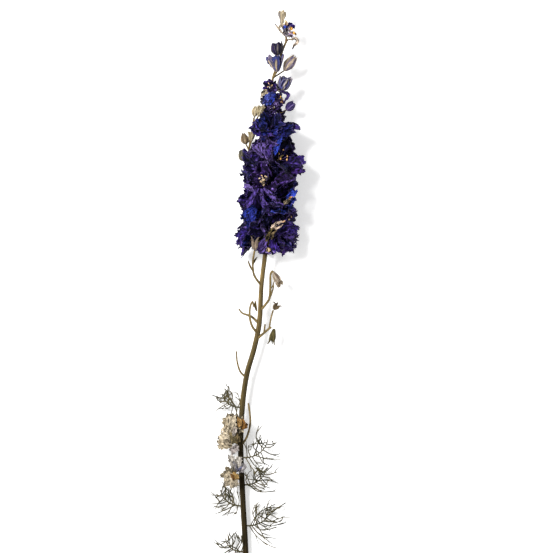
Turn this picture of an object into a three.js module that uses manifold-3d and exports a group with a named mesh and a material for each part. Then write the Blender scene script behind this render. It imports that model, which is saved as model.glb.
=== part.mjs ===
// A dried double delphinium (larkspur) flower spike, cut and lying on a flat surface.
// Millimetres, +Z up. X runs along the spike from the cut end towards the tip, Y to its left.
// The head is packed: each floret is pressed into a cell of its own, half way to its neighbours.
import * as THREE from 'three';
import Module from 'manifold-3d';

const wasm = await Module();
wasm.setup();

// ---- driving dimensions ----
const SPIKE_LENGTH = 500; // cut end to the tip of the last bud
const BLADE = 0.66; // thickness of a petal
const GAP = 0.3; // clear space between two pieces
const STALK_GAP = 0.45; // from the end of a stalk to the middle of what it carries
const CLEAR = 0.42; // clear space cut round the stem, its stalks and the pods
const WALL = BLADE / 2 + GAP / 2 + 0.02; // a petal's middle keeps this far from its cell's walls
const SEAM = 0.56; // a petal keeps this far from the edge of its slice of the ring
const SOFT = 2.4; // depth over which a petal is pressed flat against a wall
const CLOSE = 1.0; // how far a petal may still be pressed in once it has stood up
const EASINGS = 10; // steps in which it stands up
const UNDERSIDE = -0.5; // florets that face further down than this have simpler petals
const STEEPEST = 0.6; // angle in radians that an outer petal keeps to the floret's axis
const FLAT = 0.45; // what lies lower than this is pressed level with the surface
const DIP = 1.9; // petals bent down this far below the surface are laid flat on it
const GOLDEN_TURN = 137.5; // degrees round the stem from one floret to the next
const STEM_SIDES = 6;
const ROOT = 1.3; // radius of a floret's middle, where its petals start
const MIDDLE = 5.5; // from a floret's base to the middle of its cell, for a floret of size 1
const HEART = 3.2; // height of the post in a floret's middle, for a floret of size 1
const NEIGHBOURS = 45; // florets further apart than this leave each other alone
const CLIMB = 7; // how far a floret's stalk runs up along the stem, for a floret of size 1
const NECK = 2.4; // straight end of a floret's stalk
const SIDE_SHIFT = -2.6; // brings the middle of the spike's width over the X axis
const SEEDS = { dense: 13, upper: 101, lone: 201, leaf: 331 }; // first draws of each kind of piece
const DENSE_STALK = 6.0; // from the stem's middle to the base of a large floret
const UPPER_STALK = 3.6; // from the stem's middle to the base of a small floret

// A bud's ribbed shape: places from foot to tip, and for each form the share of its greatest
// width at those places.
const BUD = { places: [0, 0.25, 0.55, 0.85, 1], sides: 8, rib: 0.84 };
const GIRTHS = {
  egg: [0.34, 0.86, 1, 0.62, 0.24],
  club: [0.5, 0.56, 0.86, 1, 0.5],
  bell: [0.26, 0.58, 0.84, 1, 0.86],
};

// A seed pod: its radii from foot to tip, and how far the three of a bunch spread apart.
const POD = { radii: [0.8, 1.15, 0.4], apart: 0.3, spread: 1.9, stagger: 0.1 };

// A thread leaf: how its rib arches out, forward and down for each millimetre of its length,
// half the rib's width at its foot and its loss towards the tip, half a thread's width, a fork's
// width, and where the first thread forks off and over which share of the rib the others follow.
const LEAF = {
  out: 0.72, arch: 1.35, ahead: 0.5, droop: 0.16, rib: 0.55, taper: 0.2, thread: 0.45, fork: 1.1,
  first: 0.2, along: 0.7, forward: 0.6,
};

// The main stem: distance from the cut end, place to the left, height, radius.
const STEM = [
  [0, 2.6, 2.0, 2.0], [60, 5.6, 2.6, 1.95], [110, 8.2, 3.4, 1.9], [150, 9.8, 4.5, 1.85],
  [188, 11.7, 5.6, 1.8], [214, 12.8, 6.6, 1.8], [240, 11.8, 7.8, 1.75], [262, 8.9, 8.8, 1.75],
  [280, 3.8, 9.6, 1.7], [296, 0.6, 10.5, 1.65], [321, -0.9, 12.0, 1.5], [344, -3.6, 13.3, 1.45],
  [376, -5.5, 14.7, 1.25], [402, -7.5, 15.7, 1.05], [430, -8.5, 16.5, 0.85], [454, -8.1, 16.7, 0.75],
  [466, -12.0, 16.4, 0.7], [477, -15.9, 16.0, 0.7], [480.5, -17.2, 16.0, 0.75],
  [485, -16.0, 15.8, 0.6], [489.6, -14.3, 15.4, 0.55],
];

// Thin stalks that grow from the stem, each through places x, y, z, with its radius at both ends.
const STALKS = [
  // side sprig along the left of the head
  { places: [[374.2, -5.3, 14.3], [384, -0.6, 12], [393, 4, 10], [404, 7.4, 9], [412, 7, 10],
    [423, 5, 13], [430, 4, 14]], from: 0.75, to: 0.6 },
  // hooked stalk with seed pods in front of the head's foot
  { places: [[321, -0.6, 12.6], [328, 3.9, 16], [336, 4.6, 21], [343.4, 3.4, 25.5]],
    from: 0.8, to: 0.65 },
  // hooked stalk of the dry hanging flower, right of the stem
  { places: [[305, -0.6, 11.4], [309, -3.9, 14], [313, -6.2, 15.4], [321, -6.7, 16.6],
    [327.6, -6.8, 17.2], [330, -7.8, 17.2], [329.3, -9.0, 17]], from: 0.85, to: 0.6 },
  // two bent back stalks, left of the stem
  { places: [[297, 1.6, 11], [300.4, 5.2, 11.6], [301.6, 8, 11.6], [303, 11.7, 11.4], [305.6, 13.9, 11]],
    from: 0.85, to: 0.55 },
  { places: [[290.5, 2.4, 11], [294.6, 5.2, 13.6], [300.4, 6.7, 15], [307, 6.4, 15.4],
    [310.4, 4.9, 15.4], [307, 4.1, 15.2]], from: 0.85, to: 0.55 },
  // forked stalk with seed pods, right of the stem
  { places: [[286.5, 1.4, 10.4], [290, -2.6, 12], [293, -6.2, 12.6], [293.6, -7.4, 12.5]],
    from: 0.85, to: 0.65 },
  { places: [[293, -6, 12.4], [299, -7, 14], [305, -8.6, 15.2]], from: 0.6, to: 0.5 },
  { places: [[290, -2.6, 12], [293, -2.9, 13.6], [295.6, -3.3, 14.6]], from: 0.6, to: 0.5 },
  // short stalk of a lost floret, left of the stem
  { places: [[261, 9.4, 9], [264.7, 13, 9.8], [271.2, 15, 10.2], [278, 15.4, 10.2]],
    from: 0.75, to: 0.5 },
  // long bare stalk close to the right of the lower stem
  { places: [[216, 12.2, 7], [222.5, 8.4, 8.6], [231.9, 6.4, 9.6], [244, 7.6, 9.8]],
    from: 0.75, to: 0.6 },
];

// The head's large florets: distance from the cut end, turn round the stem from its upper side
// (to the left is positive), size. First those on top, then to the right, to the left and below.
const DENSE = [
  [358, -20, 1.2], [373, -30, 1.2], [386, 16, 1.25], [401, -34, 1.2], [408, 30, 1.15],
  [420, -4, 1.0], [370, 36, 1.1],
  [351, -70, 1.1], [364, -92, 1.1], [384, -88, 1.1], [394, 78, 1.1],
  [350, 66, 1.1], [379, 86, 1.1], [362, 106, 1.1],
  [353, 180, 1.1], [372, 170, 1.1], [392, -150, 1.1], [401, 155, 1.1], [410, -120, 1.0],
];

// The small florets of the upper head, and one at the head's foot, in the same way.
const UPPER = [
  [429.5, -64, 0.48], [430, 40, 0.54], [432.5, -128, 0.5], [434, 118, 0.5], [436, -14, 0.5],
  [441, -50, 0.5], [441.5, 34, 0.56], [444.5, 175, 0.5], [447.5, -66, 0.55], [449, 6, 0.5],
  [343, -8, 0.45],
];

// Florets outside the head: where the base sits, the way the floret faces, its size, how far it
// is open, and whether a stalk of its own joins it to the stem.
const LONE = [
  { name: 'tip_floret', colour: 'petal', base: [485.2, -18.0, 17.4], facing: [0.35, -0.45, 0.8],
    size: 0.46, open: 0.4, stalked: true },
  { name: 'dry_flower', colour: 'faded', base: [328.8, -9.4, 16.9], facing: [-0.86, -0.5, -0.1],
    size: 0.5, open: 0.12, stalked: false },
  { name: 'faded_floret_1', colour: 'faded', base: [229.5, 15.6, 9.4], facing: [0.1, 0.62, 0.78],
    size: 0.74, open: 1, stalked: true },
  { name: 'faded_floret_2', colour: 'faded', base: [219.5, 18.6, 7.6], facing: [0.42, 0.86, 0.26],
    size: 0.62, open: 0.15, stalked: true },
  { name: 'faded_floret_3', colour: 'faded', base: [196, 17.2, 7.4], facing: [0.12, 0.6, 0.8],
    size: 0.62, open: 0.8, stalked: true },
];

// Buds: where the bud's stalk leaves the stem, the bud's foot and tip, its greatest width, its form.
const BUDS = [
  { name: 'bud_tip', root: [487.6, -14.9, 15.6], foot: [490.6, -14.1, 15.4], tip: [500, -14.5, 15.2],
    width: 4.9, form: 'club' },
  { name: 'bud_dark', root: [466, -12, 16.4], foot: [470.4, -11.4, 18.2], tip: [478.8, -10.4, 19.4],
    width: 7.8, form: 'egg' },
  { name: 'bud_blue', root: [456, -8.3, 16.8], foot: [459.4, -11.2, 20.4], tip: [469.2, -9.6, 24.4],
    width: 9.2, form: 'bell' },
  { name: 'bud_striped', root: [455.8, -8.5, 16.7], foot: [460.6, -15.8, 16.8],
    tip: [469.8, -22.8, 18.2], width: 6.4, form: 'egg' },
  { name: 'bud_violet', root: [431, -8.5, 16.5], foot: [435, -17.2, 17], tip: [439.8, -22.4, 17.4],
    width: 5, form: 'egg' },
  { name: 'sprig_bud_1', root: [428, 4.4, 13.8], foot: [431, 3.6, 14.4], tip: [437.8, 2.8, 15],
    width: 4.4, form: 'egg' },
  { name: 'sprig_bud_2', root: [426, 4.7, 13.4], foot: [430.6, 0.8, 22.4], tip: [436.8, -1.2, 25],
    width: 4, form: 'bell' },
  { name: 'sprig_bud_3', root: [409, 7.2, 9.7], foot: [413.4, 9.3, 11], tip: [420.8, 10.9, 11.6],
    width: 5.6, form: 'egg' },
  { name: 'sprig_bud_4', root: [411, 7, 9.9], foot: [415, 5.6, 16.5], tip: [421, 5.2, 18.5],
    width: 4, form: 'egg' },
  { name: 'sprig_bud_5', root: [398, 5.2, 9.4], foot: [402.6, 10.2, 8], tip: [410, 13.2, 8],
    width: 5.8, form: 'egg' },
];

// Seed pods, three to a bunch: the bunch's foot and the way it points.
const PODS = [
  { name: 'seed_pods_1', foot: [343.9, 3.0, 26.2], facing: [0.93, 0.08, 0.33], length: 9.2 },
  { name: 'seed_pods_2', foot: [292.6, -9.4, 12], facing: [-0.9, 0.24, -0.1], length: 11.5 },
  { name: 'seed_pods_3', foot: [305.5, -9, 15.4], facing: [0.75, -0.55, 0.25], length: 5.4 },
];

// Thread leaves of the lower stem: place along it, turn round it, length, number of threads.
const LEAVES = [
  [241, 104, 18, 7], [208, -66, 26, 6], [190, -84, 20, 7], [176, 98, 20, 7], [163, -80, 24, 8],
  [146, 70, 18, 6], [92, -78, 24, 6],
];

// ---- random draws ----
// A draw from 0 to 1 that is always the same for the same two numbers.
function draw(seed, n) {
  const s = Math.sin(seed * 12.9898 + n * 78.233) * 43758.5453;
  return s - Math.floor(s);
}

function between(seed, n, low, high) {
  return low + (high - low) * draw(seed, n);
}

// ---- solids ----
function solid(points, triangles) {
  const vertProperties = new Float32Array(points.flatMap((p) => [p.x, p.y, p.z]));
  const triVerts = new Uint32Array(triangles);
  return new wasm.Manifold(new wasm.Mesh({ numProp: 3, vertProperties, triVerts }));
}

function joined(solids) {
  return solids.reduce((whole, piece) => whole.add(piece));
}

// The largest piece of a solid, without scraps that a cut has set loose.
function largest(body) {
  const pieces = body.decompose();
  return pieces.reduce((best, piece) => (piece.volume() > best.volume() ? piece : best));
}

// Values in the rows' columns at x, by a smooth curve through the rows. The first column is x.
function follow(rows, x) {
  const last = rows.length - 1;
  const at = THREE.MathUtils.clamp(x, rows[0][0], rows[last][0]);
  let k = 0;
  while (k < last - 1 && at > rows[k + 1][0]) k += 1;
  const span = rows[k + 1][0] - rows[k][0];
  const t = (at - rows[k][0]) / span;
  const slope = (i, c) => {
    const before = rows[Math.max(i - 1, 0)];
    const after = rows[Math.min(i + 1, last)];
    return (after[c] - before[c]) / (after[0] - before[0]);
  };
  return rows[k].slice(1).map((start, i) => {
    const c = i + 1;
    const rise = (rows[k + 1][c] - start) * t * t * (3 - 2 * t);
    const bow = span * t * (1 - t) * (slope(k, c) * (1 - t) - slope(k + 1, c) * t);
    return start + rise + bow;
  });
}

function stemPoint(x) {
  const [y, z] = follow(STEM, x);
  return new THREE.Vector3(x, y, z);
}

// A closed tube along points, with a radius for each and a flat cap at both ends. extra makes
// it thicker and longer all round. A groove below 1 draws every other corner in, for ribs.
function tube(points, radii, sides, extra = 0, groove = 1) {
  const vertices = [];
  const triangles = [];
  const across = new THREE.Vector3(0, 0, 1);
  points.forEach((point, i) => {
    const ahead = points[Math.min(i + 1, points.length - 1)];
    const behind = points[Math.max(i - 1, 0)];
    const along = ahead.clone().sub(behind).normalize();
    if (i === 0 && Math.abs(along.z) > 0.9) across.set(1, 0, 0);
    across.addScaledVector(along, -across.dot(along)).normalize();
    const third = along.clone().cross(across);
    const middle = point.clone();
    if (i === 0) middle.addScaledVector(along, -extra);
    if (i === points.length - 1) middle.addScaledVector(along, extra);
    for (let s = 0; s < sides; s += 1) {
      const angle = (2 * Math.PI * s) / sides;
      const radius = radii[i] * (s % 2 ? groove : 1) + extra;
      const vertex = middle.clone().addScaledVector(across, -radius * Math.cos(angle));
      vertices.push(vertex.addScaledVector(third, -radius * Math.sin(angle)));
    }
  });
  for (let i = 0; i < points.length - 1; i += 1) {
    for (let s = 0; s < sides; s += 1) {
      const a = i * sides + s;
      const b = i * sides + ((s + 1) % sides);
      triangles.push(a, b, b + sides, a, b + sides, a + sides);
    }
  }
  const end = (points.length - 1) * sides;
  for (let s = 1; s < sides - 1; s += 1) {
    triangles.push(0, s + 1, s, end, end + s, end + s + 1);
  }
  return solid(vertices, triangles);
}

// A tube through a few places, rounded between them.
function stalk({ places, from, to }, extra, sides = 4) {
  const curve = new THREE.CatmullRomCurve3(places.map((place) => new THREE.Vector3(...place)));
  const steps = places.length + 1;
  const points = curve.getPoints(steps);
  const radii = points.map((_, i) => THREE.MathUtils.lerp(from, to, i / steps));
  return tube(points, radii, sides, extra);
}

// A closed thin solid round a sheet of triangles, with the same triangles on both faces.
// rim is the sheet's edge, in the direction of its triangles.
function thickened(sheet, faces, rim, thickness = BLADE) {
  const normals = sheet.map(() => new THREE.Vector3());
  faces.forEach(([a, b, c]) => {
    const side = sheet[b].clone().sub(sheet[a]).cross(sheet[c].clone().sub(sheet[a])).normalize();
    [a, b, c].forEach((n) => normals[n].add(side));
  });
  const offset = (amount) => sheet.map((p, n) => {
    const moved = p.clone().addScaledVector(normals[n].clone().normalize(), amount);
    return moved.z < FLAT ? moved.setZ(0) : moved;
  });
  const count = sheet.length;
  const triangles = faces.flatMap(([a, b, c]) => [a, b, c, a + count, c + count, b + count]);
  rim.forEach((a, n) => {
    const b = rim[(n + 1) % rim.length];
    triangles.push(b, a, a + count, b, a + count, b + count);
  });
  return solid([...offset(thickness / 2), ...offset(-thickness / 2)], triangles);
}

// ---- florets ----
// Where a floret of the head sits: its base on its stalk, the way it faces, its cell's middle.
function floretPlace(x, turn, size, stalkLength, seed) {
  const angle = THREE.MathUtils.degToRad(turn + between(seed, 1, -9, 9));
  const lift = THREE.MathUtils.degToRad(between(seed, 2, 2, 34));
  const out = new THREE.Vector3(0, Math.sin(angle), Math.cos(angle));
  const facing = out.clone().multiplyScalar(Math.cos(lift)).setX(Math.sin(lift));
  const base = stemPoint(x).addScaledVector(out, stalkLength);
  const centre = base.clone().addScaledVector(facing, MIDDLE * size);
  return { x, out, facing, base, centre, size, seed, open: 1 };
}

// The petals of one ring of a floret. The outer ring is laid open, the inner one half closed.
function ringPetals(floret, inner) {
  const count = inner ? 3 : 5;
  const start = between(floret.seed, inner ? 3 : 4, 0, 2 * Math.PI);
  const petals = [];
  for (let n = 0; n < count; n += 1) {
    const s = floret.seed * 31 + n * 7 + (inner ? 1000 : 0);
    const lean = inner ? between(s, 2, 0.12, 0.25) : between(s, 2, 0.85, 1.2);
    petals.push({
      turn: start + (2 * Math.PI * n) / count,
      count,
      lean: lean * (0.3 + 0.7 * floret.open),
      bend: (inner ? between(s, 3, 0.1, 0.25) : between(s, 3, 0.3, 0.8)) * (0.2 + 0.8 * floret.open),
      length: floret.size * (inner ? between(s, 4, 6.5, 8.0) : between(s, 4, 12.5, 15.5)),
      width: floret.size * (inner ? between(s, 5, 6.0, 7.5) : between(s, 5, 11.0, 14.0)),
      cup: between(s, 6, -0.2, 0.35),
      ruffle: floret.size * (inner ? 0.5 : between(s, 7, 0.9, 1.8)),
      phase: between(s, 8, 0, 2 * Math.PI),
      rootRise: inner ? 1.3 + 0.7 * floret.size : 0.4,
    });
  }
  return petals;
}

// Two directions square to the way a floret faces.
function floretSquare(floret) {
  const first = new THREE.Vector3(1, 0, 0);
  first.addScaledVector(floret.facing, -floret.facing.x).normalize();
  return [first, floret.facing.clone().cross(first)];
}

// A point of a petal's middle surface, u from -1 to 1 across and v from 0 to 1 along it,
// before it is pressed into its cell. It stays in its own slice of the floret.
function petalPoint(floret, petal, u, v) {
  const [first, second] = floretSquare(floret);
  const radial = first.multiplyScalar(Math.cos(petal.turn));
  radial.addScaledVector(second, Math.sin(petal.turn));
  const sideways = floret.facing.clone().cross(radial);
  const angle = petal.lean + petal.bend * v;
  const reach = (petal.length * (Math.cos(petal.lean) - Math.cos(angle))) / petal.bend;
  const rise = (petal.length * (Math.sin(angle) - Math.sin(petal.lean))) / petal.bend;
  const half = (petal.width / 2) * Math.sin(Math.PI * (0.1 + 0.78 * v ** 1.3));
  const wave = petal.ruffle * v * v * Math.sin(petal.phase + 2.6 * u + 3.1 * v);
  const inward = petal.cup * half * u * u + wave;
  const away = Math.max(ROOT + reach - inward * Math.cos(angle), ROOT);
  const slice = Math.PI / petal.count;
  const room = Math.max((away * Math.sin(slice) - SEAM) / Math.cos(slice), 0.3);
  return floret.base.clone()
    .addScaledVector(radial, away)
    .addScaledVector(floret.facing, petal.rootRise + rise + inward * Math.sin(angle))
    .addScaledVector(sideways, Math.min(half, room) * u);
}

// The walls round a floret: half way to each neighbour, and the surface that the spike lies on.
function cellWalls(floret, florets) {
  const low = new THREE.Vector3(0, 0, BLADE / 2 - DIP);
  const walls = [{ point: low, away: new THREE.Vector3(0, 0, -1) }];
  florets.forEach((other) => {
    const away = other.centre.clone().sub(floret.centre);
    if (other === floret || away.length() > NEIGHBOURS) return;
    const share = floret.size / (floret.size + other.size);
    const point = floret.centre.clone().addScaledVector(away, share);
    away.normalize();
    walls.push({ point: point.addScaledVector(away, -WALL), away });
  });
  return walls;
}

// Draws a point towards the middle of its cell until it is inside all the walls.
function pressed(point, centre, walls) {
  const way = point.clone().sub(centre);
  const distance = way.length();
  if (distance < 1e-6) return point.clone();
  way.divideScalar(distance);
  let limit = Infinity;
  walls.forEach((wall) => {
    const towards = way.dot(wall.away);
    if (towards < 1e-6) return;
    limit = Math.min(limit, wall.point.clone().sub(centre).dot(wall.away) / towards);
  });
  const soft = Math.min(SOFT, limit / 2);
  if (distance <= limit - soft) return point.clone();
  const kept = limit - soft * Math.exp((limit - soft - distance) / soft);
  return centre.clone().addScaledVector(way, kept);
}

// A petal that meets a wall of its cell stands up and stays shorter, until it nearly fits.
function fitted(floret, petal, walls) {
  const eased = { ...petal };
  for (let n = 0; n < EASINGS; n += 1) {
    const corners = [-1, 0, 1].map((u) => petalPoint(floret, eased, u, 1));
    const misses = corners.map((point) => pressed(point, floret.centre, walls).distanceTo(point));
    if (Math.max(...misses) < CLOSE) return eased;
    eased.lean = Math.max(eased.lean * 0.92, Math.min(petal.lean, STEEPEST));
    eased.length *= 0.93;
  }
  return eased;
}

// One ring of petals as a single lobed sheet round the floret's middle, closed and thick.
function ringSolid(floret, inner, rows, walls) {
  const petals = ringPetals(floret, inner).map((petal) => fitted(floret, petal, walls));
  const press = (point) => {
    const kept = pressed(point, floret.centre, walls);
    return kept.setZ(Math.max(kept.z, BLADE / 2));
  };
  const [first, second] = floretSquare(floret);
  const count = petals.length;
  const middle = floret.base.clone().addScaledVector(floret.facing, petals[0].rootRise);
  const sheet = [press(middle)];
  petals.forEach((petal) => {
    const seam = petal.turn + Math.PI / count;
    const corner = middle.clone().addScaledVector(first, ROOT * Math.cos(seam));
    sheet.push(press(corner.addScaledVector(second, ROOT * Math.sin(seam))));
  });
  const faces = [];
  const rim = [];
  petals.forEach((petal, k) => {
    const right = 1 + ((k + count - 1) % count);
    const left = 1 + k;
    const start = sheet.length;
    for (let j = 1; j <= rows; j += 1) {
      [-1, 0, 1].forEach((u) => sheet.push(press(petalPoint(floret, petal, u, j / rows))));
    }
    faces.push([0, right, left]);
    faces.push([right, start, start + 1], [right, start + 1, left], [left, start + 1, start + 2]);
    for (let j = 0; j < rows - 1; j += 1) {
      const a = start + 3 * j;
      faces.push([a, a + 3, a + 4], [a, a + 4, a + 1], [a + 1, a + 4, a + 2], [a + 2, a + 4, a + 5]);
    }
    rim.push(right);
    for (let j = 0; j < rows; j += 1) rim.push(start + 3 * j);
    rim.push(start + 3 * rows - 2);
    for (let j = rows - 1; j >= 0; j -= 1) rim.push(start + 3 * j + 2);
  });
  return thickened(sheet, faces, rim);
}

function floretSolid(floret, florets) {
  const walls = cellWalls(floret, florets);
  const rows = floret.size > 1 && floret.facing.z > UNDERSIDE ? 3 : 2;
  const outer = ringSolid(floret, false, rows, walls);
  const inner = ringSolid(floret, true, 2, walls);
  const tip = floret.base.clone().addScaledVector(floret.facing, HEART * floret.size);
  const heart = tube([floret.base, tip], [1.0, 0.8], 3);
  return joined([outer, inner, heart]);
}

// Florets of the head from their rows, with a draw of their own each.
function headFlorets(rows, stalkLength, seed) {
  return rows.map(([x, turn, size], n) => floretPlace(x, turn, size, stalkLength, n + seed));
}

function loneFlorets() {
  return LONE.map((row, n) => {
    const facing = new THREE.Vector3(...row.facing).normalize();
    const base = new THREE.Vector3(...row.base);
    const centre = base.clone().addScaledVector(facing, MIDDLE * row.size);
    return { ...row, x: base.x, facing, base, centre, seed: n + SEEDS.lone };
  });
}

// ---- the stem with its stalks ----
// A floret's own stalk, from the stem up to just below the floret's base.
function floretStalk(floret, extra) {
  const start = stemPoint(floret.x - CLIMB * floret.size);
  const middle = floret.base.clone().addScaledVector(floret.facing, -NECK);
  const end = floret.base.clone().addScaledVector(floret.facing, -STALK_GAP);
  const thick = 0.5 + 0.3 * floret.size;
  return tube([start, middle, end], [thick, thick, thick], 3, extra);
}

// A bud's stalk, from its root in the stem up to just below the bud's foot.
function budStalk({ root, foot, tip }, extra) {
  const end = new THREE.Vector3(...foot);
  const way = new THREE.Vector3(...tip).sub(end).normalize();
  end.addScaledVector(way, -STALK_GAP);
  return tube([new THREE.Vector3(...root), end], [0.55, 0.5], 3, extra);
}

// extra makes everything thicker, to cut clear space for the stem in the florets.
function stemSolid(florets, extra = 0) {
  const points = [];
  const radii = [];
  const stations = STEM.flatMap(([x], i) => (i === 0 ? [x] : [(STEM[i - 1][0] + x) / 2, x]));
  stations.forEach((x) => {
    points.push(stemPoint(x));
    radii.push(follow(STEM, x)[2]);
  });
  const flowerStalks = florets.map((floret) => floretStalk(floret, extra));
  const budStalks = BUDS.map((row) => budStalk(row, extra));
  const otherStalks = STALKS.map((row) => stalk(row, extra));
  return joined([tube(points, radii, STEM_SIDES, extra), ...flowerStalks, ...budStalks, ...otherStalks]);
}

// ---- buds, pods and leaves ----
function budSolid({ foot, tip, width, form }) {
  const start = new THREE.Vector3(...foot);
  const end = new THREE.Vector3(...tip);
  const points = BUD.places.map((t) => start.clone().lerp(end, t));
  const radii = GIRTHS[form].map((share) => (share * width) / 2);
  return tube(points, radii, BUD.sides, 0, BUD.rib);
}

function podSolid({ foot, facing, length }, seed, extra = 0) {
  const start = new THREE.Vector3(...foot);
  const way = new THREE.Vector3(...facing).normalize();
  const side = way.clone().cross(new THREE.Vector3(0, 0, 1)).normalize();
  const up = side.clone().cross(way);
  const pods = [0, 1, 2].map((n) => {
    const angle = (2 * Math.PI * n) / 3 + between(seed, n, 0, 1);
    const spread = side.clone().multiplyScalar(Math.cos(angle)).addScaledVector(up, Math.sin(angle));
    const points = [0, 0.5, 1].map((t) => start.clone()
      .addScaledVector(way, length * t - (n === 0 ? 0 : POD.stagger))
      .addScaledVector(spread, POD.apart + POD.spread * t));
    return tube(points, POD.radii, 4, extra);
  });
  return joined(pods);
}

// A leaf cut into threads that leave its rib left and right in turn, one thin sheet in all.
// It starts just clear of the stem, bends down and stays above the surface.
function leafSolid([x, turn, length, threads], seed) {
  const angle = THREE.MathUtils.degToRad(turn);
  const out = new THREE.Vector3(0, Math.sin(angle), Math.cos(angle));
  const foot = stemPoint(x).addScaledVector(out, follow(STEM, x)[2] + GAP + 0.1);
  const kept = (point) => point.setZ(Math.max(point.z, BLADE / 2));
  const rib = (t) => kept(foot.clone()
    .addScaledVector(out, length * LEAF.out * Math.sin(t * LEAF.arch))
    .add(new THREE.Vector3(length * LEAF.ahead * t * t, 0, -length * LEAF.droop * t * t)));
  const sideways = (t) => {
    const along = rib(t + 0.05).sub(rib(t)).normalize();
    return new THREE.Vector3(0, 0, 1).cross(along).normalize();
  };
  const stations = [0];
  for (let n = 0; n < threads; n += 1) {
    const t = LEAF.first + (LEAF.along * n) / threads;
    stations.push(t, t + LEAF.fork / length);
  }
  stations.push(1);
  const sheet = stations.flatMap((t) => [-1, 1].map((side) => kept(rib(t)
    .addScaledVector(sideways(t), side * (LEAF.rib - LEAF.taper * t)))));
  const faces = [];
  for (let i = 0; i < stations.length - 1; i += 1) {
    const a = 2 * i;
    faces.push([a, a + 2, a + 3], [a, a + 3, a + 1]);
  }
  // A thread on the sheet's edge from corner p to corner q. Gives its share of the rim.
  const thread = (p, q, n, side) => {
    const t = stations[2 * n + 1];
    const reach = length * between(seed, n, 0.32, 0.46) * (1.15 - 0.5 * t);
    const along = rib(t + 0.05).sub(rib(t)).normalize();
    const way = sideways(t).multiplyScalar(side).addScaledVector(along, LEAF.forward).normalize();
    const thin = along.clone().multiplyScalar(side > 0 ? -1 : 1);
    const root = sheet[p].clone().lerp(sheet[q], 0.5);
    const lift = between(seed, n + 20, -0.3, 0.35);
    const middle = root.clone().addScaledVector(way, reach * 0.55).setZ(root.z + reach * lift * 0.5);
    const end = root.clone().addScaledVector(way, reach * 0.9).addScaledVector(along, reach * 0.2);
    const a = sheet.length;
    sheet.push(kept(middle.clone().addScaledVector(thin, -LEAF.thread)));
    sheet.push(kept(middle.addScaledVector(thin, LEAF.thread)));
    sheet.push(kept(end.setZ(root.z + reach * lift)));
    faces.push([p, a, a + 1], [p, a + 1, q], [a, a + 2, a + 1]);
    return [p, a, a + 2, a + 1];
  };
  const rim = [];
  for (let i = 0; i < stations.length; i += 1) {
    const n = (i - 1) / 2;
    const forks = Number.isInteger(n) && n % 2 === 0 && i < stations.length - 1;
    rim.push(...(forks ? thread(2 * i, 2 * i + 2, n, -1) : [2 * i]));
  }
  for (let i = stations.length - 1; i >= 0; i -= 1) {
    const n = (i - 2) / 2;
    const forks = Number.isInteger(n) && n % 2 === 1;
    rim.push(...(forks ? thread(2 * i + 1, 2 * i - 1, n, 1) : [2 * i + 1]));
  }
  return thickened(sheet, faces, rim);
}

// ---- putting the spike together ----
const materials = {
  stem: new THREE.MeshStandardMaterial({ color: 0x8a7a4c, roughness: 0.85, metalness: 0 }),
  petal: new THREE.MeshStandardMaterial({ color: 0x35246b, roughness: 0.8, metalness: 0 }),
  faded: new THREE.MeshStandardMaterial({ color: 0xd8c8a2, roughness: 0.85, metalness: 0 }),
  bud: new THREE.MeshStandardMaterial({ color: 0xb3a58a, roughness: 0.8, metalness: 0 }),
  pod: new THREE.MeshStandardMaterial({ color: 0xa08c55, roughness: 0.85, metalness: 0 }),
  leaf: new THREE.MeshStandardMaterial({ color: 0x4c4a2e, roughness: 0.9, metalness: 0 }),
};

const spike = new THREE.Group();

function addPiece(name, body, material) {
  const mesh = body.getMesh();
  const geometry = new THREE.BufferGeometry();
  geometry.setAttribute('position', new THREE.BufferAttribute(mesh.vertProperties, 3));
  geometry.setIndex(new THREE.BufferAttribute(mesh.triVerts, 1));
  geometry.computeVertexNormals();
  const piece = new THREE.Mesh(geometry, material);
  piece.name = name;
  spike.add(piece);
}

const head = [
  ...headFlorets(DENSE, DENSE_STALK, SEEDS.dense), ...headFlorets(UPPER, UPPER_STALK, SEEDS.upper),
];
const lone = loneFlorets();
const stalked = [...head, ...lone.filter((floret) => floret.stalked)];
addPiece('stem', stemSolid(stalked), materials.stem);
PODS.forEach((row, n) => addPiece(row.name, podSolid(row, n), materials.pod));
BUDS.forEach((row) => addPiece(row.name, budSolid(row), materials.bud));

const clearance = joined([stemSolid(stalked, CLEAR), ...PODS.map((row, n) => podSolid(row, n, CLEAR))]);
head.forEach((floret, n) => {
  const body = largest(floretSolid(floret, head).subtract(clearance));
  addPiece(`floret_${String(n + 1).padStart(2, '0')}`, body, materials.petal);
});
lone.forEach((floret) => {
  const body = largest(floretSolid(floret, lone).subtract(clearance));
  addPiece(floret.name, body, materials[floret.colour]);
});
LEAVES.forEach((row, n) => addPiece(`leaf_${n + 1}`, leafSolid(row, n + SEEDS.leaf), materials.leaf));

spike.position.set(-SPIKE_LENGTH / 2, SIDE_SHIFT, 0);
export default spike;
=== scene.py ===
import math
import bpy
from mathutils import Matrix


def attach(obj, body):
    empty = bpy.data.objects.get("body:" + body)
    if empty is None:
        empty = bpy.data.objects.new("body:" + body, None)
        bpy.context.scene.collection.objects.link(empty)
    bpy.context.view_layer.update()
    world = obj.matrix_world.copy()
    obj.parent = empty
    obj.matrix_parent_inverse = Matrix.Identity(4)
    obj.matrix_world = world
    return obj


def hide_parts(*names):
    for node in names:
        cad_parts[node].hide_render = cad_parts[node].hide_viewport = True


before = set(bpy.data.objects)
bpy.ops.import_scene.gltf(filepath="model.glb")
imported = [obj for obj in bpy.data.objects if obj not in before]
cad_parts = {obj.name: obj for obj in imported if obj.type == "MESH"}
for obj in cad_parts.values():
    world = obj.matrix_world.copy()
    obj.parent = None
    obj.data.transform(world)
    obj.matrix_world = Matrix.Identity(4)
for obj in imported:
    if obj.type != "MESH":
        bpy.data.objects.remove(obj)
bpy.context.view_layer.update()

from types import SimpleNamespace

import bpy
import numpy as np

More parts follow.
